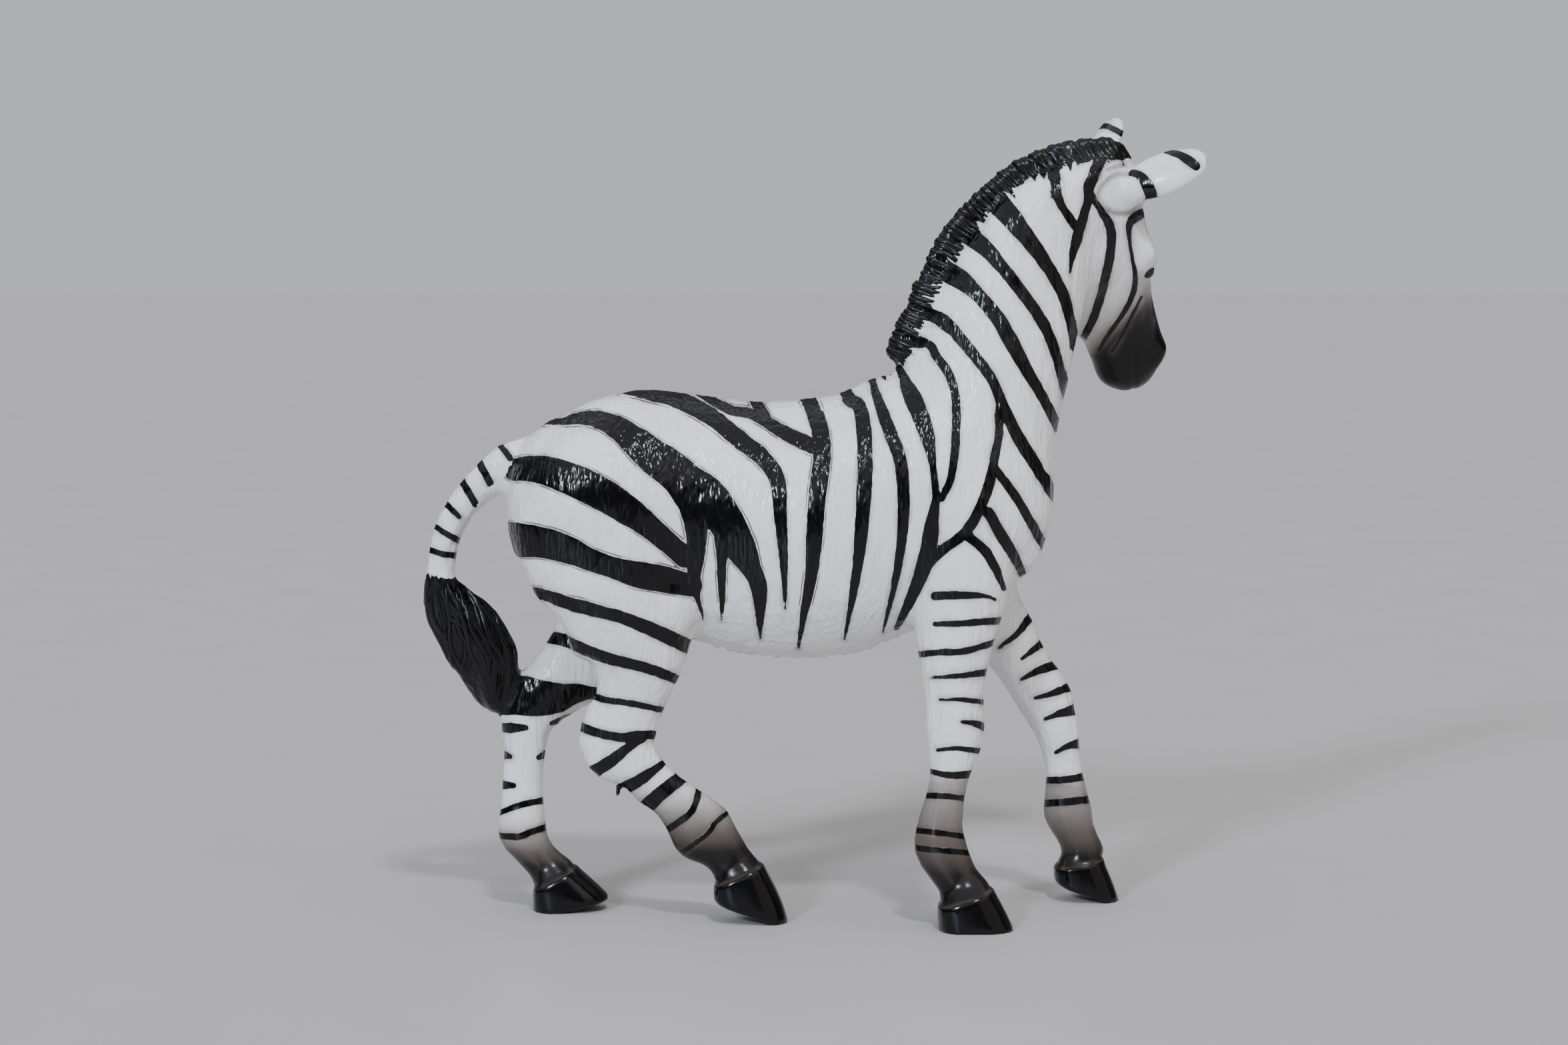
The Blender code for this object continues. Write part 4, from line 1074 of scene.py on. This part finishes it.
def pale_laminate(colour):
    """A pale satin tabletop, of laminate: even, with a faint change of gloss."""
    material, tree, shader, place = new_material("pale satin laminate", gloss=0.35, Base_Color=colour)
    grain = add_node(tree, "ShaderNodeTexNoise", {"Vector": place, "Scale": 60.0, "Detail": 3.0})
    shade = add_node(tree, "ShaderNodeMapRange", {"Value": grain, 3: 0.38, 4: 0.5})
    tree.links.new(shade.outputs[0], shader.inputs["Roughness"])
    return material


# Geometry Nodes


def new_tree(name, sockets):
    """A Geometry Nodes tree, with its named inputs and their identifiers."""
    tree = bpy.data.node_groups.new(name, "GeometryNodeTree")
    tree.interface.new_socket("Geometry", in_out="OUTPUT", socket_type="NodeSocketGeometry")
    tree.interface.new_socket("Path", in_out="INPUT", socket_type="NodeSocketGeometry")
    identifiers = {}
    for socket, kind in sockets.items():
        made = tree.interface.new_socket(socket, in_out="INPUT", socket_type="NodeSocket" + kind)
        identifiers[socket] = made.identifier
    start = tree.nodes.new("NodeGroupInput")
    return tree, start.outputs, identifiers


def line_of(tree, points):
    """A straight curve with a number of points, to be bent into a hair."""
    line = add_node(tree, "GeometryNodeCurvePrimitiveLine")
    return add_node(tree, "GeometryNodeResampleCurve", {"Curve": line, "Count": points}, mode="COUNT")


def scattered(tree, placing, seed, fullness):
    """A curve at each point, each with its own share of a fullness."""
    placed = add_node(tree, "GeometryNodeInstanceOnPoints", placing)
    chance = add_node(tree, "FunctionNodeRandomValue", {2: 0.72, 3: 1.18, "Seed": seed}, data_type="FLOAT")
    full = add_node(tree, "ShaderNodeMath", (chance.outputs[1], fullness), operation="MULTIPLY")
    return add_node(tree, "GeometryNodeStoreNamedAttribute", {
        "Geometry": placed, "Name": "fullness", "Value": full}, data_type="FLOAT", domain="INSTANCE")


def finish_tree(tree, given, curves, tip_power):
    """Lay curves on the casting, give them a thickness that falls towards their ends, and end the tree."""
    share = add_node(tree, "GeometryNodeSplineParameter")
    off_middle = add_node(tree, "ShaderNodeMath", (share, 2.0, -1.0), operation="MULTIPLY_ADD")
    to_end = add_node(tree, "ShaderNodeMath", {0: off_middle}, operation="ABSOLUTE")
    fall = add_node(tree, "ShaderNodeMath", (to_end, tip_power), operation="POWER")
    left_over = add_node(tree, "ShaderNodeMath", (fall, -0.88, 1.0), operation="MULTIPLY_ADD")
    fullness = add_node(tree, "GeometryNodeInputNamedAttribute", {"Name": "fullness"}, data_type="FLOAT")
    full = add_node(tree, "ShaderNodeMath", (given["Thickness"], fullness), operation="MULTIPLY")
    radius = add_node(tree, "ShaderNodeMath", (full, left_over), operation="MULTIPLY")
    target = add_node(tree, "GeometryNodeObjectInfo", {
        "Object": given["Casting"]}, transform_space="RELATIVE")
    surface = target.outputs["Geometry"]
    nearest = add_node(tree, "GeometryNodeProximity", {0: surface}, target_element="FACES")
    normal = add_node(tree, "GeometryNodeInputNormal")
    facing = add_node(tree, "GeometryNodeSampleNearestSurface", {
        0: surface, "Value": normal}, data_type="FLOAT_VECTOR")
    inwards = add_node(tree, "ShaderNodeMath", (given["Sink"], -1.0), operation="MULTIPLY")
    down = add_node(tree, "ShaderNodeVectorMath", {0: facing, "Scale": inwards}, operation="SCALE")
    laid = add_node(tree, "GeometryNodeSetPosition", {
        "Geometry": curves, "Position": nearest.outputs["Position"], "Offset": down})
    ring = add_node(tree, "GeometryNodeCurvePrimitiveCircle", {"Resolution": 6, "Radius": 1.0})
    tube = add_node(tree, "GeometryNodeCurveToMesh", {
        "Curve": laid, "Profile Curve": ring, "Scale": radius, "Fill Caps": True})
    smooth = add_node(tree, "GeometryNodeSetShadeSmooth", {"Geometry": tube})
    real = add_node(tree, "GeometryNodeRealizeInstances", {0: smooth})
    dressed = add_node(tree, "GeometryNodeSetMaterial", {"Geometry": real, "Material": given["Material"]})
    add_node(tree, "NodeGroupOutput", {0: dressed})


def mane_tree():
    """Locks bent over the crest, from the hairline on one side to the hairline on the other."""
    tree, given, identifiers = new_tree("mane locks", {
        "Spacing": "Float", "Thickness": "Float", "Sink": "Float", "Reach": "Float", "Crest height": "Float",
        "Width": "Float", "Seed": "Int", "Casting": "Object", "Material": "Material"})
    crest = add_node(tree, "GeometryNodeMeshToCurve", {0: given["Path"]})
    up, left = (
        add_node(tree, "GeometryNodeInputNamedAttribute", {"Name": name}, data_type="FLOAT_VECTOR")
        for name in ("up", "left")
    )
    turned = add_node(
        tree, "FunctionNodeAxesToRotation", (up, left), primary_axis="Z", secondary_axis="Y")
    # A lock: a half oval over the crest, drawn along a line of 17 points
    share = add_node(tree, "GeometryNodeSplineParameter")
    angle = add_node(tree, "ShaderNodeMath", (share, math.pi, -math.pi / 2), operation="MULTIPLY_ADD")
    sine = add_node(tree, "ShaderNodeMath", {0: angle}, operation="SINE")
    cosine = add_node(tree, "ShaderNodeMath", {0: angle}, operation="COSINE")
    across = add_node(tree, "ShaderNodeMath", (sine, given["Width"]), operation="MULTIPLY")
    fall = add_node(tree, "ShaderNodeMath", (1.0, cosine), operation="SUBTRACT")
    drop = add_node(tree, "ShaderNodeMath", (fall, given["Reach"]), operation="MULTIPLY")
    height = add_node(tree, "ShaderNodeMath", (given["Crest height"], drop), operation="SUBTRACT")
    push = add_node(tree, "ShaderNodeMath", (given["Reach"], 0.1), operation="MULTIPLY")
    bend = add_node(tree, "ShaderNodeMath", (fall, push), operation="MULTIPLY")
    spot = add_node(tree, "ShaderNodeCombineXYZ", {"X": bend, "Y": across, "Z": height})
    lock = add_node(tree, "GeometryNodeSetPosition", {"Geometry": line_of(tree, 17), "Position": spot})
    # Full locks, gathered in knobs 2 mm wide, and finer ones between them that hang further down
    index = add_node(tree, "GeometryNodeInputIndex")
    phase = add_node(tree, "ShaderNodeMath", (index, 1.06), operation="MULTIPLY")
    swing = add_node(tree, "ShaderNodeMath", {0: phase}, operation="SINE")
    wave = add_node(tree, "ShaderNodeMath", {0: swing}, operation="ABSOLUTE")
    knob = add_node(tree, "ShaderNodeMath", (wave, 0.4, 0.78), operation="MULTIPLY_ADD")
    joined = add_node(tree, "GeometryNodeJoinGeometry")
    for apart, fullness, shortest, longest, lean in LOCK_LAYERS:
        length = add_node(tree, "ShaderNodeMath", (given["Spacing"], apart), operation="MULTIPLY")
        spaced = add_node(tree, "GeometryNodeResampleCurve", {
            "Curve": crest, "Length": length}, mode="LENGTH")
        seed = add_node(tree, "ShaderNodeMath", (given["Seed"], apart * 100), operation="ADD")
        next_seed = add_node(tree, "ShaderNodeMath", (seed, 11), operation="ADD")
        stretch = add_node(tree, "FunctionNodeRandomValue", {
            0: (1.0, 0.9, shortest), 1: (1.0, 1.1, longest), "Seed": seed}, data_type="FLOAT_VECTOR")
        leaned = add_node(tree, "FunctionNodeRandomValue", {
            0: (-0.08, -lean, -lean), 1: (0.08, lean, lean), "Seed": next_seed}, data_type="FLOAT_VECTOR")
        turn = add_node(tree, "FunctionNodeEulerToRotation", {0: leaned})
        both = add_node(tree, "FunctionNodeRotateRotation", (turned, turn), rotation_space="LOCAL")
        layer = scattered(tree, {
            "Points": spaced, "Instance": lock, "Rotation": both, "Scale": stretch}, seed, fullness or knob)
        tree.links.new(layer.outputs[0], joined.inputs[0])
    real = add_node(tree, "GeometryNodeRealizeInstances", {0: joined})
    finish_tree(tree, given, real, tip_power=3.0)
    return tree, identifiers


def tail_tree():
    """Strands wound round the tuft's own path, each a little further on than the last."""
    tree, given, identifiers = new_tree("tail strands", {
        "Strands": "Int", "Thickness": "Float", "Twist": "Float", "Sink": "Float", "Seed": "Int",
        "Casting": "Object", "Material": "Material"})
    path = add_node(tree, "GeometryNodeMeshToCurve", {0: given["Path"]})
    spots = add_node(tree, "GeometryNodePoints", {"Count": given["Strands"]})
    strands = scattered(tree, {"Points": spots, "Instance": line_of(tree, 28)}, given["Seed"], 1.0)
    # Each strand keeps its place round the tuft, and a number of its own from 0 to 1
    index = add_node(tree, "GeometryNodeInputIndex")
    round_tuft = add_node(tree, "ShaderNodeMath", (index, given["Strands"]), operation="DIVIDE")
    seed = add_node(tree, "ShaderNodeMath", (given["Seed"], 5), operation="ADD")
    chance = add_node(tree, "FunctionNodeRandomValue", {2: 0.0, 3: 1.0, "Seed": seed}, data_type="FLOAT")
    for name, value in (("turn", round_tuft), ("own", chance.outputs[1])):
        strands = add_node(tree, "GeometryNodeStoreNamedAttribute", {
            "Geometry": strands, "Name": name, "Value": value}, data_type="FLOAT", domain="INSTANCE")
    real = add_node(tree, "GeometryNodeRealizeInstances", {0: strands})
    own, turn, reach = (
        add_node(tree, "GeometryNodeInputNamedAttribute", {"Name": name}, data_type="FLOAT")
        for name in ("own", "turn", "reach")
    )
    share = add_node(tree, "GeometryNodeSplineParameter")
    start = add_node(tree, "ShaderNodeMath", (own, 0.1), operation="MULTIPLY")
    length = add_node(tree, "ShaderNodeMath", (own, -0.14, 0.88), operation="MULTIPLY_ADD")
    at = add_node(tree, "ShaderNodeMath", (share, length, start), operation="MULTIPLY_ADD")
    # The angle round the tuft: the strand's own, the twist and a small wave
    shift = add_node(tree, "ShaderNodeMath", (own, 40.0), operation="MULTIPLY")
    phase = add_node(tree, "ShaderNodeMath", (share, 9.0, shift), operation="MULTIPLY_ADD")
    swing = add_node(tree, "ShaderNodeMath", {0: phase}, operation="SINE")
    wave = add_node(tree, "ShaderNodeMath", (swing, 0.16), operation="MULTIPLY")
    wound = add_node(tree, "ShaderNodeMath", (share, given["Twist"], wave), operation="MULTIPLY_ADD")
    first_angle = add_node(tree, "ShaderNodeMath", (turn, math.tau), operation="MULTIPLY")
    angle = add_node(tree, "ShaderNodeMath", (first_angle, wound), operation="ADD")
    sampled = add_node(tree, "GeometryNodeSampleCurve", {
        "Curves": path, "Value": reach, "Factor": at}, mode="FACTOR", data_type="FLOAT").outputs
    beside = add_node(
        tree, "ShaderNodeVectorMath", (sampled["Tangent"], sampled["Normal"]), operation="CROSS_PRODUCT")
    ways = []
    for wave_kind, way in (("COSINE", sampled["Normal"]), ("SINE", beside)):
        turned = add_node(tree, "ShaderNodeMath", {0: angle}, operation=wave_kind)
        size = add_node(tree, "ShaderNodeMath", (turned, sampled["Value"]), operation="MULTIPLY")
        ways.append(add_node(tree, "ShaderNodeVectorMath", {0: way, "Scale": size}, operation="SCALE"))
    out = add_node(tree, "ShaderNodeVectorMath", (ways[0], ways[1]), operation="ADD")
    placed = add_node(tree, "GeometryNodeSetPosition", {
        "Geometry": real, "Position": sampled["Position"], "Offset": out})
    finish_tree(tree, given, placed, tip_power=4.0)
    return tree, identifiers


def path_object(points, attributes):
    """A path for a tree to follow, with values for each of its points."""
    mesh = bpy.data.meshes.new("path")
    places = (np.array(points) - DRAWING_ORIGIN) / 1000
    mesh.from_pydata(places.tolist(), [(i, i + 1) for i in range(len(points) - 1)], [])
    for name, values in attributes.items():
        values = np.array(values, float)
        kind, field = ("FLOAT_VECTOR", "vector") if values.ndim == 2 else ("FLOAT", "value")
        layer = mesh.attributes.new(name, kind, "POINT")
        layer.data.foreach_set(field, values.ravel())
    return new_object("path", mesh)


def new_object(name, data):
    """A new object in the scene."""
    item = bpy.data.objects.new(name, data)
    bpy.context.scene.collection.objects.link(item)
    return item


def grown(name, path, tree, identifiers, values):
    """The plain mesh that a tree makes of a path with values for its named inputs, as a new object."""
    modifier = path.modifiers.new(name, "NODES")
    modifier.node_group = tree
    for socket, value in values.items():
        modifier[identifiers[socket]] = value
    bpy.context.view_layer.update()
    graph = bpy.context.evaluated_depsgraph_get()
    mesh = bpy.data.meshes.new_from_object(path.evaluated_get(graph))
    bpy.data.objects.remove(path)
    mesh.name = name
    return new_object(name, mesh)


def ridden(piece):
    """Fix a piece to the figurine's one body."""
    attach(piece, "root")


# The stage


def lay_floor(settings):
    """A square of pale laminate under the hooves."""
    half = settings.floor_size / 2
    mesh = bpy.data.meshes.new("floor")
    corners = [(-half, -half, 0), (half, -half, 0), (half, half, 0), (-half, half, 0)]
    mesh.from_pydata(corners, [], [(0, 1, 2, 3)])
    mesh.materials.append(pale_laminate(tuple(settings.floor_colour)))
    new_object("floor", mesh)


def light_air(colour):
    """Soft light from all round, which the camera sees as pale as the floor."""
    world = bpy.data.worlds.new("soft grey air")
    world.use_nodes = True
    air = world.node_tree.nodes["Background"]
    air.inputs["Color"].default_value = colour
    seen = add_node(world.node_tree, "ShaderNodeLightPath").outputs["Is Camera Ray"]
    glow = add_node(world.node_tree, "ShaderNodeMapRange", {"Value": seen, 3: AIR_STRENGTH, 4: AIR_SEEN})
    world.node_tree.links.new(glow.outputs[0], air.inputs["Strength"])
    bpy.context.scene.world = world


def hang_lights():
    """The window, the lamp and the soft light of the room."""
    for name, way, width, strength, code in LIGHTS:
        data = bpy.data.lights.new(name, "SUN")
        data.angle = math.radians(width)
        data.energy = strength
        data.color = linear(code)[:3]
        lamp = new_object(name, data)
        lamp.location = Vector(way) * 0.4
        lamp.rotation_euler = Vector(way).to_track_quat("Z", "Y").to_euler()


def set_camera():
    """The photograph's view."""
    view = bpy.data.cameras.new("photograph's view")
    view.sensor_width = SENSOR_WIDTH
    view.lens = SENSOR_WIDTH * FOCAL_PIXELS / FRAME_WIDTH
    view.clip_start = 0.01
    camera = new_object("photograph's view", view)
    camera.location = (EYE - DRAWING_ORIGIN) / 1000
    camera.rotation_euler = (math.radians(90 - EYE_DROP), 0, 0)
    bpy.context.scene.camera = camera


# Operators


class ZEBRA_OT_stage(bpy.types.Operator):
    """Lay the pale floor, hang the soft lights and set up the photograph's view"""

    bl_idname = "zebra.stage"
    bl_label = "Stage"

    def execute(self, context):
        settings = context.scene.zebra_stage
        lay_floor(settings)
        light_air(settings.air_colour)
        hang_lights()
        set_camera()
        return {"FINISHED"}


class ZEBRA_OT_casting(bpy.types.Operator):
    """Refine the solid zebra, carve it and paint it"""

    bl_idname = "zebra.casting"
    bl_label = "Casting"

    def execute(self, context):
        surface = make_casting(context.scene.zebra_casting)
        surface.materials.append(painted_plastic())
        piece = new_object("zebra_casting", surface)
        ridden(piece)
        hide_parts("zebra")
        return {"FINISHED"}


class ZEBRA_OT_mane(bpy.types.Operator):
    """Lay the mane's locks over the crest of the neck"""

    bl_idname = "zebra.mane"
    bl_label = "Mane"

    def execute(self, context):
        settings = context.scene.zebra_mane
        crest = smooth_path(CREST, 4)
        places = crest[:, :3]
        ways = np.gradient(places, axis=0)
        ways /= np.linalg.norm(ways, axis=1)[:, None]
        left = np.array([side_way(turn, roll) for turn, roll in crest[:, 3:5]])
        path = path_object(places, {"up": np.cross(ways, left), "left": left})
        ridden(grown("mane_locks", path, *mane_tree(), {
            "Spacing": settings.lock_spacing, "Thickness": settings.lock_thickness,
            "Sink": settings.lock_sink, "Reach": LOCK_REACH, "Crest height": CREST_HEIGHT,
            "Width": LOCK_WIDTH, "Seed": settings.seed,
            "Casting": context.scene.objects["zebra_casting"], "Material": black_hair()}))
        return {"FINISHED"}


class ZEBRA_OT_tail_hair(bpy.types.Operator):
    """Wind the long hair round the tuft of the tail"""

    bl_idname = "zebra.tail_hair"
    bl_label = "Tail hair"

    def execute(self, context):
        settings = context.scene.zebra_tail
        bone = BONES["tuft"]
        places = smooth_path([TUFT_ROOT, *bone.points], 4)
        radii = [TUFT_ROOT_RADIUS, *bone.thickness]
        reach = np.interp(np.linspace(0, 1, len(places)), np.linspace(0, 1, len(radii)), radii) / 1000
        path = path_object(places, {"reach": reach})
        ridden(grown("tail_hair", path, *tail_tree(), {
            "Strands": settings.strands, "Thickness": settings.strand_thickness,
            "Twist": settings.twist, "Sink": STRAND_SINK, "Seed": settings.seed,
            "Casting": context.scene.objects["zebra_casting"], "Material": black_hair()}))
        return {"FINISHED"}


class ZEBRA_OT_eyes(bpy.types.Operator):
    """Set the two drops of enamel that are the eyes"""

    bl_idname = "zebra.eyes"
    bl_label = "Eyes"

    def execute(self, context):
        mesh = bmesh.new()
        axes = Matrix(HEAD_AXES.T.tolist()).to_4x4()
        for side in both_sides([EYEBALL + [0, 0.1, 0]]):
            place = Vector((side[0] - DRAWING_ORIGIN) / 1000)
            pose = Matrix.Translation(place) @ axes @ Matrix.Diagonal((*EYE_RADII, 1))
            bmesh.ops.create_uvsphere(mesh, u_segments=32, v_segments=20, radius=1.0, matrix=pose)
        data = bpy.data.meshes.new("eyes")
        mesh.to_mesh(data)
        mesh.free()
        data.polygons.foreach_set("use_smooth", [True] * len(data.polygons))
        data.materials.append(eye_enamel())
        ridden(new_object("eyes", data))
        return {"FINISHED"}


OPERATORS = (ZEBRA_OT_stage, ZEBRA_OT_casting, ZEBRA_OT_mane, ZEBRA_OT_tail_hair, ZEBRA_OT_eyes)


class ZEBRA_PT_panel(bpy.types.Panel):
    """The zebra's sizes, colours and steps"""

    bl_idname = "ZEBRA_PT_panel"
    bl_label = "Zebra"
    bl_space_type = "VIEW_3D"
    bl_region_type = "UI"
    bl_category = "Zebra"

    def draw(self, context):
        for operator in OPERATORS:
            self.layout.operator(operator.bl_idname)
        for name, group in SETTINGS.items():
            box = self.layout.box()
            for field in group.__annotations__:
                box.prop(getattr(context.scene, name), field)


CLASSES = (*SETTINGS.values(), *OPERATORS, ZEBRA_PT_panel)


def register():
    for item in CLASSES:
        bpy.utils.register_class(item)
    for name, group in SETTINGS.items():
        setattr(bpy.types.Scene, name, bpy.props.PointerProperty(type=group))


def unregister():
    for name in SETTINGS:
        delattr(bpy.types.Scene, name)
    for item in reversed(CLASSES):
        bpy.utils.unregister_class(item)


def main():
    register()
    bpy.ops.zebra.stage()
    bpy.ops.zebra.casting()
    bpy.ops.zebra.mane()
    bpy.ops.zebra.tail_hair()
    bpy.ops.zebra.eyes()


if __name__ == "__main__":
    main()
